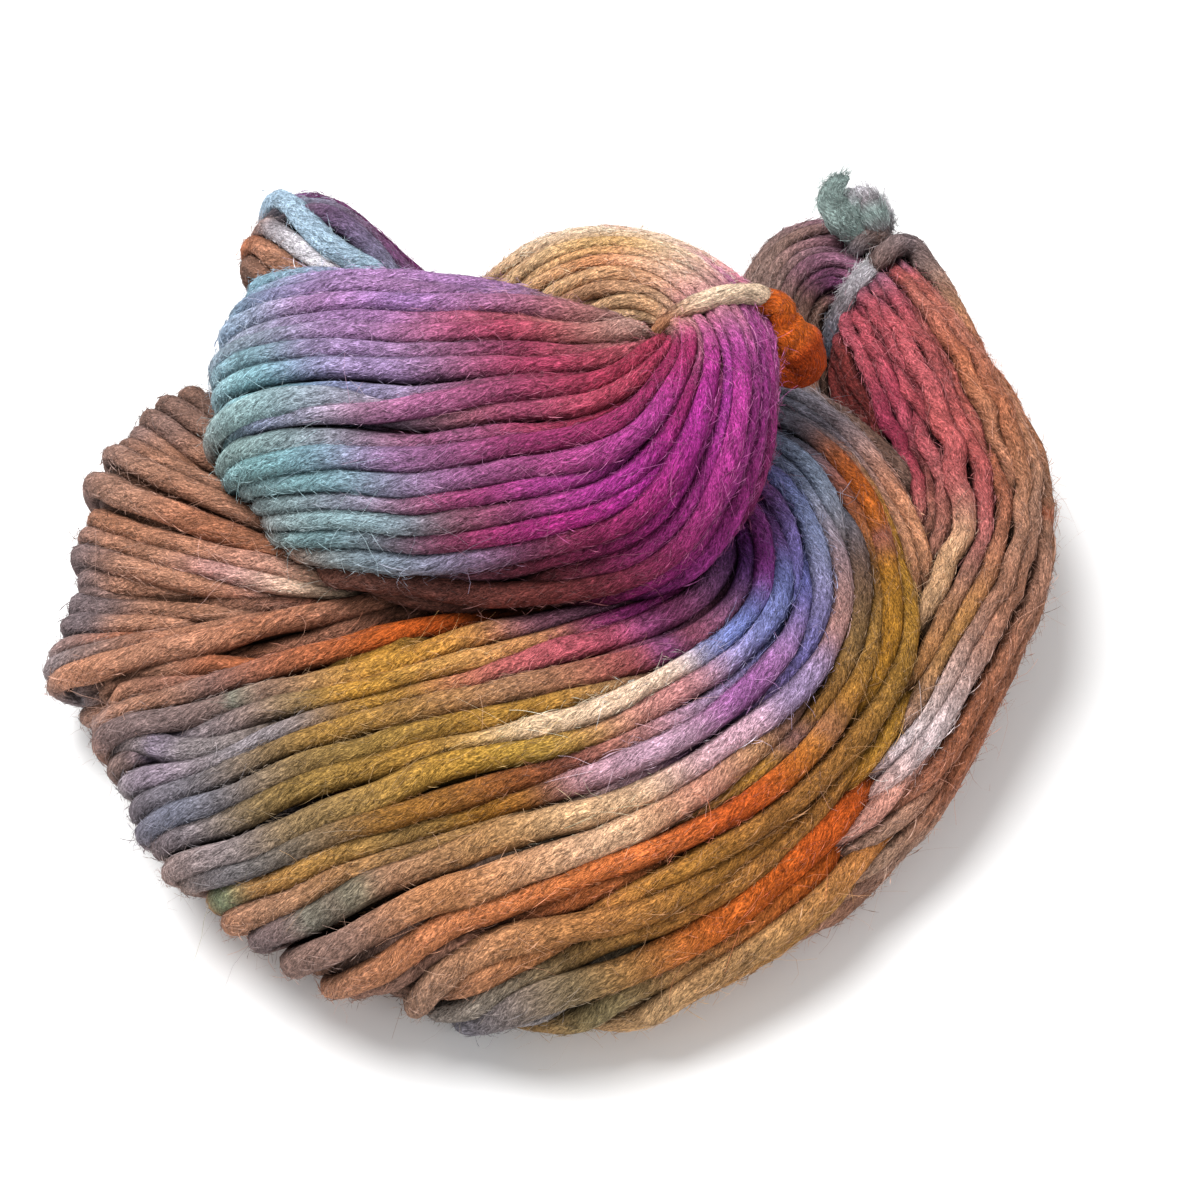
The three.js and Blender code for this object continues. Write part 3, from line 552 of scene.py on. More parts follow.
def poured(g, pours, sharp=1.0):
    """The colour at each station of each strand, from pours placed by what the picture shows there: dyes, and the few
    pours of painted shade.
    """
    px, py, depth = project(g.X)
    K, n = g.K, g.n
    ragged = 5.0 * wave(n, K, 40).T + 6.0 * rng.standard_normal((1, n))
    total, colour = np.zeros((K, n)), np.zeros((K, n, 3))
    for dye, x, y, length, width in pours:
        off = np.hypot(px - x, py - y)
        best = off.min()
        ok = off < max(best + 2, 13)
        k0, i0 = np.unravel_index(np.argmin(np.where(ok, depth + 0.4 * off, 1e9)), off.shape)
        along = g.run - g.run[k0][None] + ragged - ragged[k0, i0]
        if g.closed:
            whole = g.run[-1].mean() + 4
            along = along - whole * np.round(along / whole) * (np.abs(along) > whole / 2)
        gap = np.abs((np.arange(n) - i0 + n / 2) % n - n / 2) * (g.girth / n)[:, None]
        e = (along / length) ** 2 + (gap / (width * 1.1)) ** 2
        w = np.exp(-e * 0.9) + 0.004 / (1 + e) ** 2
        total += w
        colour += w[..., None] * DYE[dye]
    colour /= total[..., None]
    return colour


def dyed(g, pours):
    colour = poured(g, pours)
    K, n = g.K, g.n
    shade = 1 + 0.05 * rng.standard_normal((1, n)) + 0.06 * wave(n, K, 9).T + 0.05 * wave(n, K, 28).T
    warm = 0.025 * wave(n, K, 14).T
    colour = colour * shade[..., None] * np.stack([1 + warm, np.ones_like(warm), 1 - warm], -1)
    return np.clip(colour, 0.004, 0.95)


# the bundle's pours hold its dyes and the few pours of painted shade marked among them
outer.C = dyed(outer, POURS["bundle"])
inner.C = dyed(inner, POURS["bundle"])
bow.C = dyed(bow, POURS["bow"])
crossing.C = dyed(crossing, POURS["crossing"])


# ---- meshes -----------------------------------------------------------------------------------------------------
def lines_of(g, cuts=1):
    """Each open strand as a line of stations, or all turns of the loop in order, cut into a few lines."""
    if not g.closed:
        return [(np.arange(g.K), np.full(g.K, i)) for i in range(g.n)]
    order = [0]
    while int(g.follow[order[-1]]) != 0:
        order.append(int(g.follow[order[-1]]))
    assert len(order) == g.n
    lines = []
    for chunk in np.array_split(np.arange(g.n), cuts):
        turns = [order[q] for q in chunk]
        k = np.concatenate([np.arange(g.K) for _ in turns])
        s = np.concatenate([np.full(g.K, q) for q in turns])
        if cuts > 1:                          # reach over to the next turn's first station
            k, s = np.append(k, 0), np.append(s, order[(chunk[-1] + 1) % g.n])
        lines.append((k, s))
    return lines


def resample(values, run, want, closed, smooth):
    """Values along a line at new places: with a smooth curve through them, or straight between them."""
    m = len(run) - (1 if closed else 0)
    i = np.clip(np.searchsorted(run, want, "right") - 1, 0, len(run) - 2)
    f = ((want - run[i]) / (run[i + 1] - run[i] + 1e-9))[:, None]
    pick = (lambda q: values[q % m]) if closed else (lambda q: values[np.clip(q, 0, m - 1)])
    p1, p2 = pick(i), pick(i + 1)
    if not smooth:
        return p1 * (1 - f) + p2 * f
    p0, p3 = pick(i - 1), pick(i + 2)
    return 0.5 * (2 * p1 + (p2 - p0) * f + (2 * p0 - 5 * p1 + 4 * p2 - p3) * f**2 + (3 * p1 - p0 - 3 * p2 + p3) * f**3)


class Tubes:
    """Gathers tubes of roving for one mesh."""

    def __init__(self):
        self.v, self.f, self.dye, self.fibre = [], [], [], []
        self.count = 0
        self.paths, self.rings = [], []

    def add(self, X, N, R, C, step, sides, closed, twist=64.0, seed=0, darkest=0.045, W=None):
        """X middle line, N outward, R radius, C colour, W width to thickness at each point of a line."""
        ends = np.concatenate([X, X[:1]]) if closed else X
        run = np.concatenate([[0], np.cumsum(np.linalg.norm(np.diff(ends, axis=0), axis=1))])
        count = max(int(round(run[-1] / step)), 4)
        want = np.linspace(0, run[-1], count + (0 if closed else 1), endpoint=not closed)
        x = resample(X, run, want, closed, True)
        n = resample(N, run, want, closed, False)
        r = resample(R[:, None], run, want, closed, False)[:, 0]
        c = resample(C, run, want, closed, False)
        w = np.ones((len(want), 1)) if W is None else resample(W[:, None], run, want, closed, False)
        t = unit(np.roll(x, -1, 0) - np.roll(x, 1, 0)) if closed else unit(np.gradient(x, axis=0))
        n = unit(n - t * (n * t).sum(1, keepdims=True))
        b = np.cross(t, n)
        m = len(x)
        a = 2 * np.pi * (np.arange(sides) + 0.5) / sides
        a = np.repeat((a - 0.33 * np.sin(a))[None], m, 0)        # closer together on the outer side
        local = np.random.default_rng(seed + 11)
        phase = local.random(4) * 6.28
        bump = (1 + 0.035 * np.sin(2 * a + want[:, None] / 7.0 + phase[0]) + 0.03 * np.sin(3 * a - want[:, None] / 4.1 + phase[1])
                + 0.02 * np.sin(want[:, None] / 2.7 + a + phase[2]))
        rr = r[:, None] * bump
        v = x[:, None] + rr[..., None] * (np.cos(a)[..., None] * n[:, None] + (w * np.sin(a))[..., None] * b[:, None])
        v[..., 2] = np.maximum(v[..., 2], ORIGIN[2] + 0.03)      # pressed flat by the ground
        spin = a + 2 * np.pi * want[:, None] / twist + 0.3 * np.sin(want[:, None] / 3.1 + phase[3] + a)
        fibre = np.stack([r[:, None] * np.cos(spin) + 37.0 * (seed % 17), r[:, None] * np.sin(spin) + 11.0 * (seed % 13),
                          np.broadcast_to(want[:, None] / 3.6, a.shape) + 3.7 * seed], -1)
        dye = np.repeat(c[:, None], sides, 1)
        out = np.cos(a)[..., None] * n[:, None] + np.sin(a)[..., None] * b[:, None]
        # kept for painting shade into this tube's colour later, where other strands close it in
        self.rings.append((len(self.dye), out, np.broadcast_to(t[:, None], out.shape), np.cos(a), darkest, closed))
        base = self.count
        k, j = np.meshgrid(np.arange(m if closed else m - 1), np.arange(sides), indexing="ij")
        k1, j1 = (k + 1) % m, (j + 1) % sides
        f = np.stack([k * sides + j, k * sides + j1, k1 * sides + j1, k1 * sides + j], -1).reshape(-1, 4) + base
        self.v.append(v.reshape(-1, 3)), self.dye.append(dye.reshape(-1, 3)), self.fibre.append(fibre.reshape(-1, 3))
        self.f.append(f)
        self.count += m * sides
        if not closed:                        # round off the two ends
            for end, order in ((0, -1), (m - 1, 1)):
                tip = x[end] + t[end] * order * r[end] * 0.75
                mid = [x[end] + t[end] * order * r[end] * 0.45 + 0.72 * r[end] * (np.cos(a[end, s]) * n[end] + w[end] * np.sin(a[end, s]) * b[end])
                       for s in range(sides)]
                self.v.append(np.array(mid + [tip])), self.dye.append(np.repeat(c[end][None], sides + 1, 0))
                self.fibre.append(np.concatenate([fibre[end] + [0, 0, 0.3 * order], fibre[end].mean(0)[None] + [0, 0, 0.5 * order]]))
                ring, cap = base + end * sides, self.count
                for s in range(sides):
                    s1 = (s + 1) % sides
                    quad = [ring + s, ring + s1, cap + s1, cap + s]
                    tri = [cap + s, cap + s1, cap + sides, cap + sides]
                    if order < 0:
                        quad, tri = quad[::-1], [cap + s1, cap + s, cap + sides, cap + sides]
                    self.f.append(np.array([quad])), self.f.append(np.array([tri]))
                self.count += sides + 1
        self.paths.append((x, n, b, r, c, want))

    def paint_hollow_shade(self, tree, reach=11.0):
        """Paints shade into the colour: darkens the dye where the surface is closed in by other strands, as far as rays
        from it can see.
        """
        for at, out, t, up, darkest, closed in self.rings:
            m, sides = up.shape
            side = np.cross(t, out)
            seen = np.zeros(m * sides)
            start = self.v[at].reshape(-1, 3) + out.reshape(-1, 3) * 0.25
            for lean, share in ((0.0, 0.34), (1.1, 0.33), (-1.1, 0.33)):
                ray = unit(out + lean * side).reshape(-1, 3)
                for q in range(m * sides):
                    far = tree.ray_cast(Vector(start[q]), Vector(ray[q]), reach)[3]
                    seen[q] += share * (1.0 if far is None else 0.75 * far / reach)
            seen = seen.reshape(m, sides)
            for _ in range(3):
                if closed:
                    seen = 0.5 * seen + 0.25 * (np.roll(seen, 1, 0) + np.roll(seen, -1, 0))
                else:
                    seen[1:-1] = 0.5 * seen[1:-1] + 0.25 * (seen[2:] + seen[:-2])
            seen = 0.7 * seen + 0.15 * (np.roll(seen, 1, 1) + np.roll(seen, -1, 1))
            s = np.clip((seen - 0.18) / 0.58, 0, 1)
            # painted shade: deepest where the surface is closed in, none where it lies open, multiplied into the dye
            shade = darkest + (1 - darkest) * s * s * (3 - 2 * s)
            # the painted shade is made softer round the left lobe
            soft = 0.42 * np.exp(-((self.v[at][:, 0] + 100) / 52) ** 4 - ((self.v[at][:, 1] - 50) / 58) ** 4)
            self.dye[at] = self.dye[at] * (shade.reshape(-1, 1) ** (1 - soft[:, None]))

    def mesh(self, name):
        v = np.concatenate(self.v)
        f = np.concatenate(self.f)
        me = bpy.data.meshes.new(name)
        quads = f[f[:, 2] != f[:, 3]]
        tris = f[f[:, 2] == f[:, 3]][:, :3]
        corners = np.concatenate([quads.ravel(), tris.ravel()]).astype(np.int32)
        sizes = np.concatenate([np.full(len(quads), 4), np.full(len(tris), 3)]).astype(np.int32)
        starts = np.concatenate([[0], np.cumsum(sizes)[:-1]]).astype(np.int32)
        me.vertices.add(len(v))
        me.vertices.foreach_set("co", ((v - ORIGIN) * 0.001).astype(np.float32).ravel())
        me.loops.add(len(corners))
        me.loops.foreach_set("vertex_index", corners)
        me.polygons.add(len(sizes))
        me.polygons.foreach_set("loop_start", starts)
        me.polygons.foreach_set("loop_total", sizes)
        me.polygons.foreach_set("use_smooth", np.ones(len(sizes), bool))
        me.update(calc_edges=True)
        me.validate()
        # the dye attribute: the dye colour, with the painted shade of the hollows multiplied in on the yarn
        put(me, "dye", "FLOAT_COLOR", "color", np.concatenate([np.concatenate(self.dye), np.ones((len(v), 1))], 1))
        put(me, "fibre", "FLOAT_VECTOR", "vector", np.concatenate(self.fibre))
        return me


def put(me, name, kind, field, values):
    a = me.attributes.new(name, kind, "POINT")
    a.data.foreach_set(field, values.astype(np.float32).ravel())


def piece(me, name, node, materials):
    o = bpy.data.objects.new(name, me)
    bpy.context.scene.collection.objects.link(o)
    for m in materials:
        me.materials.append(m)
    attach(o, "root")
    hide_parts(node)
    return o


# ---- materials --------------------------------------------------------------------------------------------------
def wool(name, streak=1.0, sheen=0.0):
    m = bpy.data.materials.new(name)
    m.use_nodes = True
    nt = m.node_tree
    nt.nodes.clear()
    new, link = nt.nodes.new, nt.links.new
    out, bsdf = new("ShaderNodeOutputMaterial"), new("ShaderNodeBsdfPrincipled")
    # the dye attribute brings the dye with the painted shade of the hollows already in it
    dye, fibre = new("ShaderNodeAttribute"), new("ShaderNodeAttribute")
    dye.attribute_name, fibre.attribute_name = "dye", "fibre"

    def noise(scale, detail, rough=0.55, distortion=0.0):
        n = new("ShaderNodeTexNoise")
        n.inputs["Scale"].default_value = scale
        n.inputs["Detail"].default_value = detail
        n.inputs["Roughness"].default_value = rough
        n.inputs["Distortion"].default_value = distortion
        link(fibre.outputs["Vector"], n.inputs["Vector"])
        return n.outputs["Fac"]

    def ranged(value, lo, hi, a, b):
        r = new("ShaderNodeMapRange")
        r.inputs["From Min"].default_value, r.inputs["From Max"].default_value = lo, hi
        r.inputs["To Min"].default_value, r.inputs["To Max"].default_value = a, b
        link(value, r.inputs["Value"])
        return r.outputs["Result"]

    def maths(op, a, b):
        n = new("ShaderNodeMath")
        n.operation = op
        for s, v in zip(n.inputs, (a, b)):
            if isinstance(v, float):
                s.default_value = v
            else:
                link(v, s)
        return n.outputs[0]

    def wisps(value, thin):
        off = maths("ABSOLUTE", maths("SUBTRACT", value, 0.5), 0.0)
        return maths("MAXIMUM", maths("SUBTRACT", 1.0, maths("MULTIPLY", off, thin)), 0.0)

    fine = noise(1.35, 2.0, 0.72)
    hair = noise(4.4, 1.0, 0.7)
    curl = noise(0.95, 0.0)
    clump = noise(0.42, 1.0)
    tone = maths("MULTIPLY", ranged(fine, 0.3, 0.7, 1 - 0.46 * streak, 1 + 0.42 * streak), ranged(hair, 0.3, 0.7, 0.5, 1.46))
    tone = maths("MULTIPLY", tone, ranged(clump, 0.33, 0.67, 0.82, 1.14))
    light_hairs = maths("ADD", maths("MULTIPLY", wisps(fine, 26.0), 0.4), maths("MULTIPLY", wisps(curl, 13.0), 0.6))
    tone = maths("MULTIPLY", tone, maths("ADD", 0.9, light_hairs))
    scale = new("ShaderNodeVectorMath")
    scale.operation = "SCALE"
    link(dye.outputs["Color"], scale.inputs[0])
    link(tone, scale.inputs["Scale"])
    link(scale.outputs["Vector"], bsdf.inputs["Base Color"])
    link(ranged(hair, 0.2, 0.8, 0.78, 1.0), bsdf.inputs["Roughness"])
    bsdf.inputs["Specular IOR Level"].default_value = 0.08
    bsdf.inputs["Sheen Weight"].default_value = sheen
    bsdf.inputs["Sheen Roughness"].default_value = 0.55
    bump = new("ShaderNodeBump")
    bump.inputs["Strength"].default_value = 1.0
    bump.inputs["Distance"].default_value = 0.0012
    link(maths("ADD", fine, maths("MULTIPLY", clump, 1.1)), bump.inputs["Height"])
    link(bump.outputs["Normal"], bsdf.inputs["Normal"])
    link(bsdf.outputs["BSDF"], out.inputs["Surface"])
    return m


def hairs(name):
    m = bpy.data.materials.new(name)
    m.use_nodes = True
    nt = m.node_tree
    nt.nodes.clear()
    new, link = nt.nodes.new, nt.links.new
    out, bsdf = new("ShaderNodeOutputMaterial"), new("ShaderNodeBsdfPrincipled")
    dye, fibre, n = new("ShaderNodeAttribute"), new("ShaderNodeAttribute"), new("ShaderNodeTexNoise")
    dye.attribute_name, fibre.attribute_name = "dye", "fibre"
    n.inputs["Scale"].default_value = 0.9
    n.inputs["Detail"].default_value = 0.0
    link(fibre.outputs["Vector"], n.inputs["Vector"])
    r, s = new("ShaderNodeMapRange"), new("ShaderNodeVectorMath")
    r.inputs["From Min"].default_value, r.inputs["From Max"].default_value = 0.3, 0.7
    r.inputs["To Min"].default_value, r.inputs["To Max"].default_value = 0.85, 1.15
    link(n.outputs["Fac"], r.inputs["Value"])
    s.operation = "SCALE"
    link(dye.outputs["Color"], s.inputs[0])
    link(r.outputs["Result"], s.inputs["Scale"])
    link(s.outputs["Vector"], bsdf.inputs["Base Color"])
    rough, bump = new("ShaderNodeMapRange"), new("ShaderNodeBump")
    rough.inputs["To Min"].default_value, rough.inputs["To Max"].default_value = 0.75, 0.95
    link(n.outputs["Fac"], rough.inputs["Value"])
    link(rough.outputs["Result"], bsdf.inputs["Roughness"])
    bump.inputs["Strength"].default_value = 0.2
    bump.inputs["Distance"].default_value = 0.0001
    link(n.outputs["Fac"], bump.inputs["Height"])
    link(bump.outputs["Normal"], bsdf.inputs["Normal"])
    bsdf.inputs["Specular IOR Level"].default_value = 0.1
    link(bsdf.outputs["BSDF"], out.inputs["Surface"])
    return m


WOOL, WOOL_TIE, HAIR = wool("roving"), wool("roving_tie", 0.7), hairs("stray_fibre")

# ---- the hank ---------------------------------------------------------------------------------------------------
def tucked(line, far):
    """A line of points with three more at each end, straight on and a little downwards."""
    head, tail = unit(line[0] - line[1]) * far, unit(line[-1] - line[-2]) * far
    down = np.array([0, 0, -0.3 * far])
    out = [line[0] + (head + down) * q for q in (1, 0.66, 0.33)] + list(line) + [line[-1] + tail * q for q in (0.33, 0.66, 1)]
    out = np.array(out)
    out[:, 2] = np.maximum(out[:, 2], ORIGIN[2] + 4.0)
    return out


def add_turns(tubes, g, step, sides, lines, seed):
    for q, (k, i) in enumerate(lines):
        tubes.add(g.X[k, i], g.N[k, i], g.R[k, i], g.C[k, i], step, sides, g.closed and len(lines) == 1, seed=seed + q)


parts = []
for part, (k, i) in enumerate(lines_of(outer, 2)):
    tubes = Tubes()
    tubes.add(outer.X[k, i], outer.N[k, i], outer.R[k, i], outer.C[k, i], 3.9, 9, False, seed=5 + part, W=outer.W[k, i])
    parts.append((f"turns_{part + 1}", tubes))
tubes = Tubes()
for q, (k, i) in enumerate(lines_of(inner)):
    tubes.add(inner.X[k, i], inner.N[k, i], inner.R[k, i], inner.C[k, i], 4.2, 8, True, seed=400 + q, W=inner.W[k, i])
parts.append(("turns_inside", tubes))
tubes = Tubes()
for i in range(bow.n):                        # both ends run on into the heap
    line = tucked(bow.X[:, i], 18.0)
    spare = [np.concatenate([q[:1, i]] * 3 + [q[:, i]] + [q[-1:, i]] * 3) for q in (bow.N, bow.R, bow.C)]
    tubes.add(line, *spare, 3.5, 9, False, seed=500 + i)
add_turns(tubes, crossing, 3.2, 10, lines_of(crossing), 600)
parts.append(("strays", tubes))


# ---- the ties ---------------------------------------------------------------------------------------------------
def skin_at(at, turn, out):
    k = int(np.clip(round(at), 1, len(outer.S) - 2))
    A, M, B, half = outer.S[k, 0:3], outer.S[k, 3:6], outer.S[k, 6:9], outer.S[k, 9]
    phi = 2 * math.pi * turn
    t = np.array(0.5 - 0.5 * math.cos(phi) * (1 + 2 * out / np.linalg.norm(B - A)))
    run = bowed(*outer.S[k + 1, :9].reshape(3, 3), t) - bowed(*outer.S[k - 1, :9].reshape(3, 3), t)
    centre = unit(np.cross(outer.S[k + 1, 3:6] - outer.S[k - 1, 3:6], B - A))
    n = unit(0.5 * unit(np.cross(run, bowed_run(A, M, B, t))) + 0.5 * centre)
    return bowed(A, M, B, t) + n * math.sin(phi) * (half + out)


def smooth_line(points, n, closed=False):
    P = np.asarray(points, float)
    ends = np.concatenate([P, P[:1]]) if closed else P
    run = np.concatenate([[0], np.cumsum(np.linalg.norm(np.diff(ends[:, :3], axis=0), axis=1))])
    want = np.linspace(0, run[-1], n, endpoint=not closed)
    return resample(P, run, want, closed, True)


def colours(names, n):
    c = np.array([DYE[x] for x in names])
    at = np.linspace(0, len(c) - 1, n)
    return np.stack([np.interp(at, np.arange(len(c)), c[:, q]) for q in range(3)], 1)


def away(line, centre):
    return unit(line - centre)


def shown(rows):
    """Rows of picture x, y, height and radius become points and radii."""
    return np.array([[*unproject(x, y, z), r] for x, y, z, r in rows])


# the deepest painted shade a strand's hollows may get is given per strand
def strand(tubes, rows, names, n=60, closed=False, seed=0, centre=None, lumpy=0.05, sides=12, step=1.6, twist=170,
           darkest=0.35):
    line = smooth_line(rows, n, closed)
    centre = line[:, :3].mean(0) - [0, 0, 12] if centre is None else centre
    r = np.clip(line[:, 3] * (1 + lumpy * wave(1, n, 12)[0]), 0.4, 20)
    tubes.add(line[:, :3], away(line[:, :3], centre), r, colours(names, n), step, sides, closed, seed=seed, twist=twist, darkest=darkest)


def tie_ring(neck, rows, yarn, names, seed, tubes):
    u = outer.rows[neck]
    names_of = [r[0] for r in BUNDLE]
    q = names_of.index(neck)
    def place(stray):
        whole, part = int(math.floor(stray)), stray - math.floor(stray)
        a, b = outer.rows[names_of[q + whole]], outer.rows[names_of[q + whole + 1]]
        return a * (1 - part) + b * part
    pts = np.array([[*skin_at(place(s), t, yarn / 2 - 1.0), yarn / 2 * 1.08] for s, t in rows])
    centre = pts[:, :3].mean(0)
    strand(tubes, pts, names, n=90, closed=True, seed=seed, centre=centre)


tie1 = Tubes()
tie_ring("crown neck", [(0, 0.1 * i) for i in range(10)], 5.6,
         ["peach", "tan", "cream", "tan", "cream", "peach", "tan", "cream", "cream", "cream", "peach"], 700, tie1)
strand(tie1, shown([(750, 318, 98, 2.4), (757, 308, 99.5, 3.6), (767, 304, 100.5, 4.4), (778, 310, 99, 4.6), (780, 322, 97, 3.6)]),
       ["beige", "pumpkin", "pumpkin", "orange", "pumpkin"], n=40, seed=701)
strand(tie1, shown([(764, 324, 95, 3.0), (775, 330, 93.5, 6.0), (788, 341, 89.5, 8.0), (798, 354, 86, 8.4), (802, 367, 83, 7.0), (797, 376, 81, 4.6)]),
       ["pumpkin", "pumpkin", "orange", "redorange", "redorange", "redorange"], n=60, seed=702)
strand(tie1, shown([(762, 326, 94, 2.4), (767, 342, 91, 3.8), (775, 358, 87, 4.8), (785, 371, 83, 4.8), (795, 379, 80.5, 3.4)]),
       ["sand", "pumpkin", "pumpkin", "redorange", "redorange"], n=50, seed=703)
tie2 = Tubes()
tie_ring("right neck", [(0, 0), (-0.08, 0.1), (-0.18, 0.2), (-0.28, 0.3), (-0.4, 0.4), (-0.5, 0.5), (-0.6, 0.6), (-0.7, 0.7),
                        (-0.8, 0.8), (-0.86, 0.9), (-0.8, 0.97), (-0.55, 1), (-0.28, 1)], 5.4,
         ["grey", "grey", "white", "grey", "slate", "indigo", "indigo", "slate", "greytaupe", "grey"], 710, tie2)
strand(tie2, shown([(890, 252, 38, 2.8), (886, 243, 41, 3.6), (875, 238, 43, 4.0), (863, 241, 43, 3.8), (856, 250, 40, 2.8)]),
       ["greytaupe", "taupe", "grey"], n=40, seed=711)
strand(tie2, shown([(874, 244, 39, 3.4), (860, 236, 42, 4.8), (849, 226, 45, 5.6), (838, 214, 48.5, 5.6), (832, 201, 52, 5.0),
                    (833, 190, 55, 4.0), (841, 182, 57, 2.6), (847, 178, 58, 1.2)]), ["grey", "dusk", "dusk", "dusk", "dusk"], n=50, seed=712)
strand(tie2, shown([(880, 242, 39, 3.6), (875, 231, 43, 5.2), (871, 218, 46.5, 6.0), (867, 206, 49, 5.6), (862, 196, 51, 4.2), (858, 190, 52, 2.2)]),
       ["grey", "grey", "dusk", "grey", "white"], n=50, seed=713)
strand(tie2, shown([(868, 240, 39.5, 3.4), (859, 228, 43, 5.0), (854, 214, 46.5, 5.6), (850, 202, 49.5, 4.6), (849, 193, 51.5, 2.8)]),
       ["dusk", "dusk", "dusk", "white"], n=50, seed=714)
strand(tie2, shown([(882, 240, 39, 2.4), (884, 228, 42.5, 3.4), (882, 214, 46, 3.6), (877, 202, 48.5, 2.8), (871, 194, 50, 1.4)]),
       ["grey", "grey", "white", "white"], n=50, seed=715)

# ---- single strands that show on their own: colours, then picture x, y, height and radius --------------------------
LOOSE = [
    (["steel", "steel", "steel", "steel", "steel", "grey", "taupe", "brown", "brown"],
     [(424, 296, 56, 3.6), (395, 280, 62, 3.8), (360, 265, 65, 3.9), (331, 247, 66.5, 4.1), (309, 226, 65.5, 4.2), (292, 207, 62, 4.1),
      (280, 202, 56, 3.9), (271, 214, 49, 3.7), (269, 234, 42, 3.6), (276, 264, 34, 3.5), (297, 301, 27, 3.5), (340, 341, 21, 3.4), (390, 380, 18.5, 3.2)]),
    (["plum", "plum", "plum", "plum", "lavender", "grey", "brown", "brown"],
     [(436, 300, 50, 3.4), (408, 270, 57, 3.6), (377, 243, 61, 3.7), (347, 219, 61, 3.8), (320, 205, 57, 3.8), (302, 204, 51, 3.6), (289, 214, 45, 3.5), (286, 242, 39, 3.5), (302, 286, 32, 3.4), (337, 326, 26, 3.4), (386, 366, 21, 3.2)]),
    (["mauve", "mauve", "plum", "plum", "greytaupe", "grey", "brown", "brown"],
     [(430, 310, 50, 3.4), (400, 286, 56, 3.5), (370, 262, 60, 3.6), (342, 239, 61, 3.7), (318, 219, 58, 3.6), (304, 214, 52, 3.5), (295, 226, 45, 3.4), (297, 252, 39, 3.4), (313, 293, 31, 3.4), (351, 331, 25, 3.3), (396, 371, 20, 3.2)]),
    (["taupe", "taupe", "white", "grey", "brown", "brown", "umber", "brown"],
     [(410, 305, 52, 3.3), (376, 289, 58, 3.5), (343, 274, 61, 3.6), (314, 257, 62, 3.7), (288, 240, 60, 3.7), (270, 229, 53, 3.6),
      (261, 240, 44, 3.5), (262, 264, 35, 3.5), (281, 299, 28, 3.4), (322, 339, 21.5, 3.4), (375, 378, 18, 3.2)]),
    (["brown", "brown", "brown", "terracotta", "brown", "brown", "umber"],
     [(375, 304, 48, 3.2), (338, 291, 54, 3.5), (304, 276, 57, 3.6), (277, 259, 55.5, 3.7), (259, 246, 50, 3.6), (251, 250, 43, 3.5),
      (253, 266, 35, 3.5), (264, 293, 28, 3.4), (291, 322, 22, 3.4), (335, 353, 18, 3.3), (380, 386, 17, 3.2)]),
    (["brown", "umber", "brown"],
     [(330, 302, 44, 3.2), (296, 290, 50, 3.4), (268, 276, 49, 3.5), (252, 266, 43, 3.4), (253, 280, 35, 3.4), (267, 305, 27, 3.4), (300, 334, 21, 3.3), (346, 363, 17, 3.2)]),
    (["taupe", "greytaupe", "taupe", "tan", "terracotta"],
     [(872, 275, 38, 3.0), (880, 260, 44, 3.6), (894, 247, 45.5, 3.9), (911, 248, 43, 4.0), (926, 266, 41, 4.0), (944, 293, 41, 3.8),
      (962, 325, 41, 3.4), (978, 355, 38, 3.0)]),
    (["umber", "grey", "taupe", "grey", "brown", "taupe"],
     [(478, 634, 50, 3.4), (410, 649, 51, 3.6), (335, 664, 50, 3.8), (258, 681, 46.5, 3.9), (188, 696, 41, 3.9), (132, 708, 34, 3.8),
      (98, 716, 26, 3.6), (90, 716, 18, 3.2)]),
    (["brown", "grey", "white", "brown", "grey"],
     [(330, 660, 46, 3.2), (262, 668, 46, 3.5), (200, 680, 43, 3.7), (152, 690, 38.5, 3.8), (112, 698, 32, 3.7), (92, 700, 24, 3.4)]),
]
for q, (names, rows) in enumerate(LOOSE):
    line = shown(rows)
    if q < 6:                                 # those of the bow
        ends = tucked(line[:, :3], 16.0)
        line = np.concatenate([ends, np.interp(np.arange(len(ends)) - 3, np.arange(len(line)), line[:, 3])[:, None]], 1)
    # the loose strands take a deeper painted shade in their hollows
    strand(parts[3][1], line, names, n=90, seed=740 + q, lumpy=0.06, sides=10, step=3.0, twist=64, darkest=0.08,
           centre=line[:, :3].mean(0) - [0, -6, 30])

# ---- stray fibres -----------------------------------------------------------------------------------------------
tri_v, tri_f, base = [], [], 0
for name, tubes in parts + [("tie_centre_yarn", tie1), ("tie_right_yarn", tie2)]:
    tri_v.append(np.concatenate(tubes.v))
    tri_f.append(np.concatenate(tubes.f) + base)
    base += len(tri_v[-1])
tri_v, tri_f = np.concatenate(tri_v), np.concatenate(tri_f)
polygons = [tuple(q) if q[2] != q[3] else tuple(q[:3]) for q in tri_f.tolist()]
TREE = BVHTree.FromPolygons(tri_v.tolist(), polygons)
# paint shade into the colour of each yarn piece where other strands close its surface in
for name, tubes in parts + [("tie_centre_yarn", tie1), ("tie_right_yarn", tie2)]:
    tubes.paint_hollow_shade(TREE)


LOW = np.array(CAD_BOX[0]) * 1000 + ORIGIN - [12, 12, -0.15]
HIGH = np.array(CAD_BOX[1]) * 1000 + ORIGIN + 12


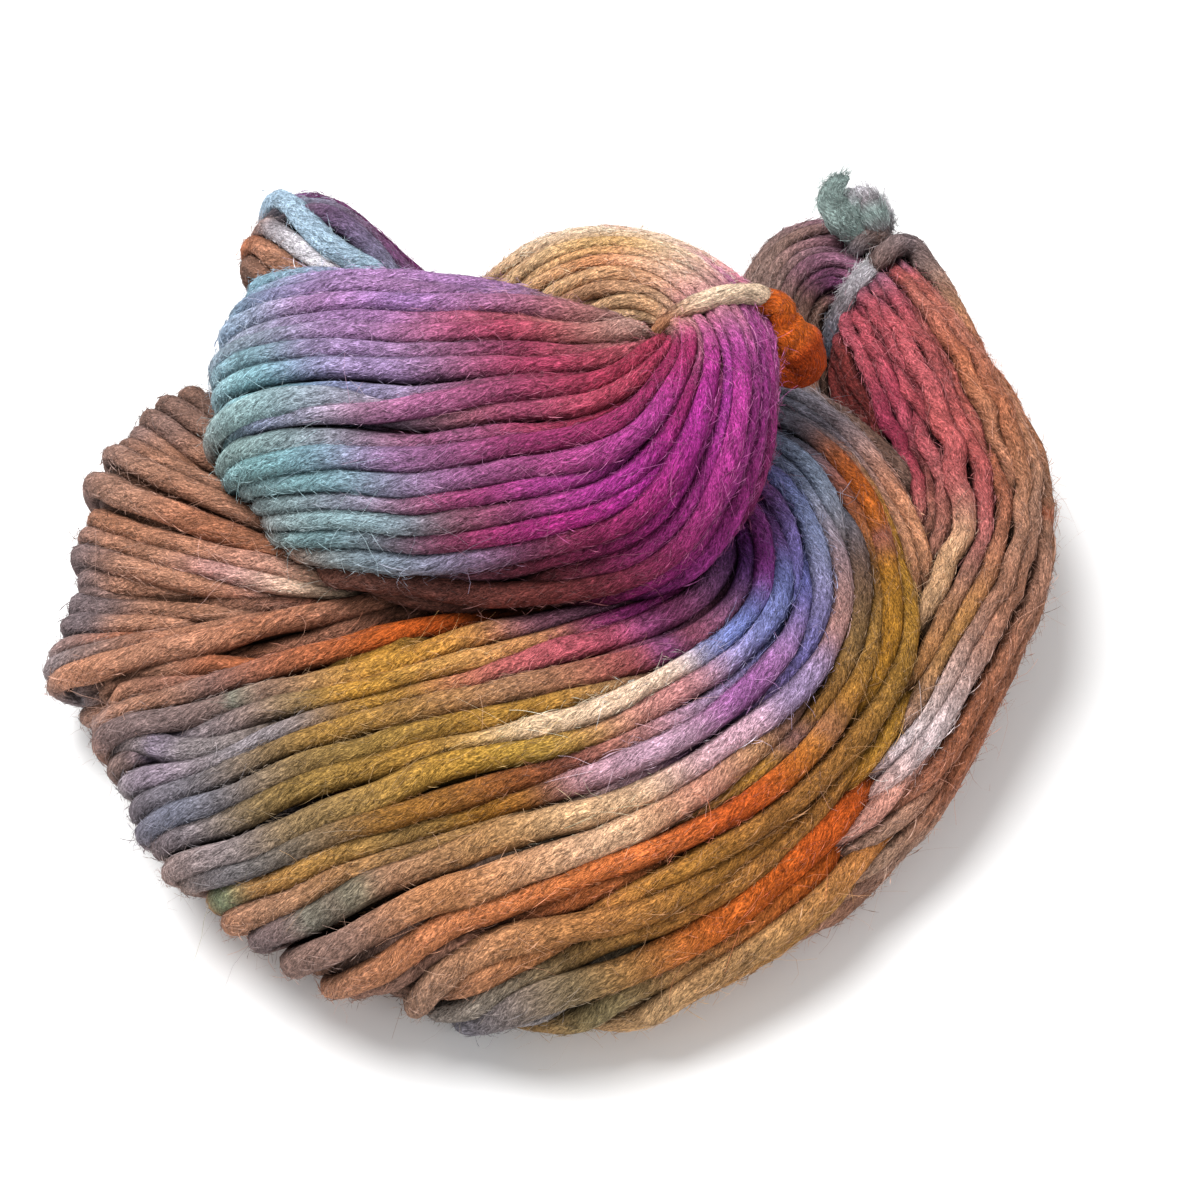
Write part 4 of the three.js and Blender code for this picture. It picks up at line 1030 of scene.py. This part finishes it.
def fuzz(sources, count, seed, name, node, lengths=(5, 13), reach=(0.1, 0.8), width=0.042, segments=4, bright=(1.1, 2.2), curly=0.0):
    """Fine hairs that leave the yarn's surface, as narrow ribbons."""
    r = np.random.default_rng(seed)
    rows = []
    for tubes in sources:
        for x, n, b, rad, c, want in tubes.paths:
            rows.append((x, n, b, rad, c))
    X, N, B, R, C = [np.concatenate([q[i] for q in rows]) for i in range(5)]
    T = np.cross(N, B)
    start_v, keep = [], []
    pool = r.integers(0, len(X), int(count * 2.6))
    angle = r.normal(0, 0.95, len(pool))
    n = np.cos(angle)[:, None] * N[pool] + np.sin(angle)[:, None] * B[pool]
    p = X[pool] + n * (R[pool] * 0.97)[:, None]
    ok = np.zeros(len(pool), bool)
    for q in range(len(pool)):
        ok[q] = TREE.ray_cast(Vector(p[q] + n[q] * 0.8), Vector(n[q]), 16.0)[0] is None
    where = np.nonzero(ok)[0][:count]
    pool, n, p = pool[where], n[where], p[where]
    m = len(pool)
    sign = np.where(r.random(m) < 0.5, -1.0, 1.0)[:, None]
    side = np.cross(T[pool], n)
    length = r.uniform(*lengths, m) * np.where(r.random(m) < 0.06, 1.6, 1.0)
    lift = r.uniform(*reach, m) ** 1.6
    heading = unit(T[pool] * sign + n * (lift * 0.9)[:, None] + side * r.normal(0, 0.55, (m, 1)))
    curl_axis = unit(np.cross(n, heading) + 0.7 * r.standard_normal((m, 3)))
    curl = (r.normal(0.0, 0.45, m) + 0.30) * curly + 0.06
    pts = [p.copy()]
    step = (length / segments)[:, None]
    for s in range(segments):
        turn = curl + r.normal(0, 0.05 + 0.17 * curly, m)
        c, sn = np.cos(turn)[:, None], np.sin(turn)[:, None]
        heading = unit(heading * c + np.cross(curl_axis, heading) * sn + curl_axis * (heading * curl_axis).sum(1, keepdims=True) * (1 - c)
                       - n * (0.16 * (s > 0)))
        pts.append(pts[-1] + heading * step)
    P = np.stack(pts, 1)                                    # m, segments + 1, 3
    P = np.clip(P, LOW, HIGH)
    along = unit(np.gradient(P, axis=1))
    face = unit(np.cross(along, unit(n[:, None] + 0.5 * r.standard_normal((m, 1, 3)))))
    w = (width * r.uniform(0.7, 1.3, m))[:, None] * np.linspace(1.0, 0.6, segments + 1)[None]
    if curly > 0:
        V = np.stack([P - face * w[..., None], P + face * w[..., None]], 2)
        idx = np.arange(m)[:, None] * (segments + 1) * 2 + np.arange(segments)[None] * 2
        F = np.stack([idx, idx + 1, idx + 3, idx + 2], -1).reshape(-1, 4)
        return hair_piece(V, F, pool, C, bright, r, name, node)
    flip = np.where(np.arange(segments + 1) % 2 == 0, 1.0, -1.0)[None, :, None]
    V = np.concatenate([P[:, :1] - face[:, :1] * w[:, :1, None], P + face * w[..., None] * flip], 1)
    idx = np.arange(m)[:, None] * (segments + 2) + np.arange(segments)[None]
    F = np.stack([idx, idx + 1, idx + 2, idx + 2], -1).reshape(-1, 4)
    return hair_piece(V, F, pool, C, bright, r, name, node)


def hair_piece(V, F, pool, C, bright, r, name, node):
    m = len(V)
    each = V.size // (3 * m)
    col = C[pool] * r.uniform(*bright, (m, 1))
    grey = col.mean(1, keepdims=True)
    col = np.clip(0.76 * col + 0.21 * grey + 0.02, 0, 0.85)
    mesh = Tubes()
    mesh.v, mesh.f, mesh.dye = [V.reshape(-1, 3)], [F], [np.repeat(col[:, None], each, 1).reshape(-1, 3)]
    mesh.fibre = [np.repeat(r.random((m, 1, 3)) * 50, each, 1).reshape(-1, 3)]
    return piece(mesh.mesh(name), name, node, [HAIR])


for name, tubes in parts:
    piece(tubes.mesh(name), name, "hank", [WOOL])
piece(tie1.mesh("tie_centre_yarn"), "tie_centre_yarn", "tie_centre", [WOOL_TIE])
piece(tie2.mesh("tie_right_yarn"), "tie_right_yarn", "tie_right", [WOOL_TIE])
skin_tubes = [t for q, t in parts]
fuzz(skin_tubes, 18000, 21, "fuzz_1", "hank", lengths=(6, 15), reach=(0.02, 0.6), width=0.042, segments=4, bright=(1.3, 2.4), curly=0.8)
fuzz(skin_tubes, 42000, 22, "fuzz_2", "hank", lengths=(3, 7), reach=(0.0, 0.5), width=0.038, segments=3, bright=(1.1, 2.2))
fuzz(skin_tubes, 72000, 23, "fuzz_3", "hank", lengths=(1.5, 4), reach=(0.0, 0.7), width=0.04, segments=2, bright=(0.65, 1.8))
fuzz(skin_tubes, 40000, 26, "fuzz_4", "hank", lengths=(2, 5), reach=(0.4, 1.6), width=0.026, segments=3, bright=(1.0, 2.2))
fuzz([tie1], 2400, 24, "fuzz_tie_centre", "tie_centre", lengths=(1.5, 3.5), reach=(0.0, 0.5), segments=3, width=0.03, bright=(0.8, 1.6))
fuzz([tie2], 8000, 25, "fuzz_tie_right", "tie_right", lengths=(1.5, 5), reach=(0.1, 1.3), segments=3, width=0.028, bright=(0.8, 1.7))

# ---- ground, light and camera -----------------------------------------------------------------------------------
def floor():
    me = bpy.data.meshes.new("ground")
    me.from_pydata([(-6, -6, 0), (6, -6, 0), (6, 6, 0), (-6, 6, 0)], [], [(0, 1, 2, 3)])
    o = bpy.data.objects.new("ground", me)
    bpy.context.scene.collection.objects.link(o)
    m = bpy.data.materials.new("ground")
    m.use_nodes = True
    b = m.node_tree.nodes["Principled BSDF"]
    b.inputs["Base Color"].default_value = (0.95, 0.95, 0.95, 1)
    b.inputs["Roughness"].default_value = 1.0
    b.inputs["Specular IOR Level"].default_value = 0.0
    me.materials.append(m)


def lamp(name, place, aim, size, watts, colour=(1, 1, 1)):
    d = bpy.data.lights.new(name, "AREA")
    d.shape, d.size, d.energy, d.color = "DISK", size, watts, colour
    o = bpy.data.objects.new(name, d)
    o.location = place
    o.rotation_mode = "QUATERNION"
    o.rotation_quaternion = (Vector(aim) - Vector(place)).to_track_quat("-Z", "Y")
    bpy.context.scene.collection.objects.link(o)


floor()
world = bpy.data.worlds.new("studio")
bpy.context.scene.world = world
world.use_nodes = True
world.node_tree.nodes["Background"].inputs["Color"].default_value = (1, 1, 1, 1)
world.node_tree.nodes["Background"].inputs["Strength"].default_value = 0.54
lamp("key", (-0.5, 0.3, 1.3), (0, 0, 0.03), 0.9, 25.0)
lamp("fill", (0.5, -0.9, 1.0), (0, 0, 0.03), 0.6, 3.0)

cam = bpy.data.cameras.new("camera")
cam.sensor_width = 36.0
cam.sensor_fit = "HORIZONTAL"
cam.lens = 36.0 * FOCAL / 1200
cam.clip_start, cam.clip_end = 0.01, 50
eye = bpy.data.objects.new("camera", cam)
eye.location = Vector((EYE - ORIGIN) * 0.001)
eye.rotation_euler = (math.pi / 2 - ELEVATION, 0, 0)
bpy.context.scene.collection.objects.link(eye)
bpy.context.scene.camera = eye
bpy.context.scene.view_settings.view_transform = "Standard"

bpy.context.view_layer.update()
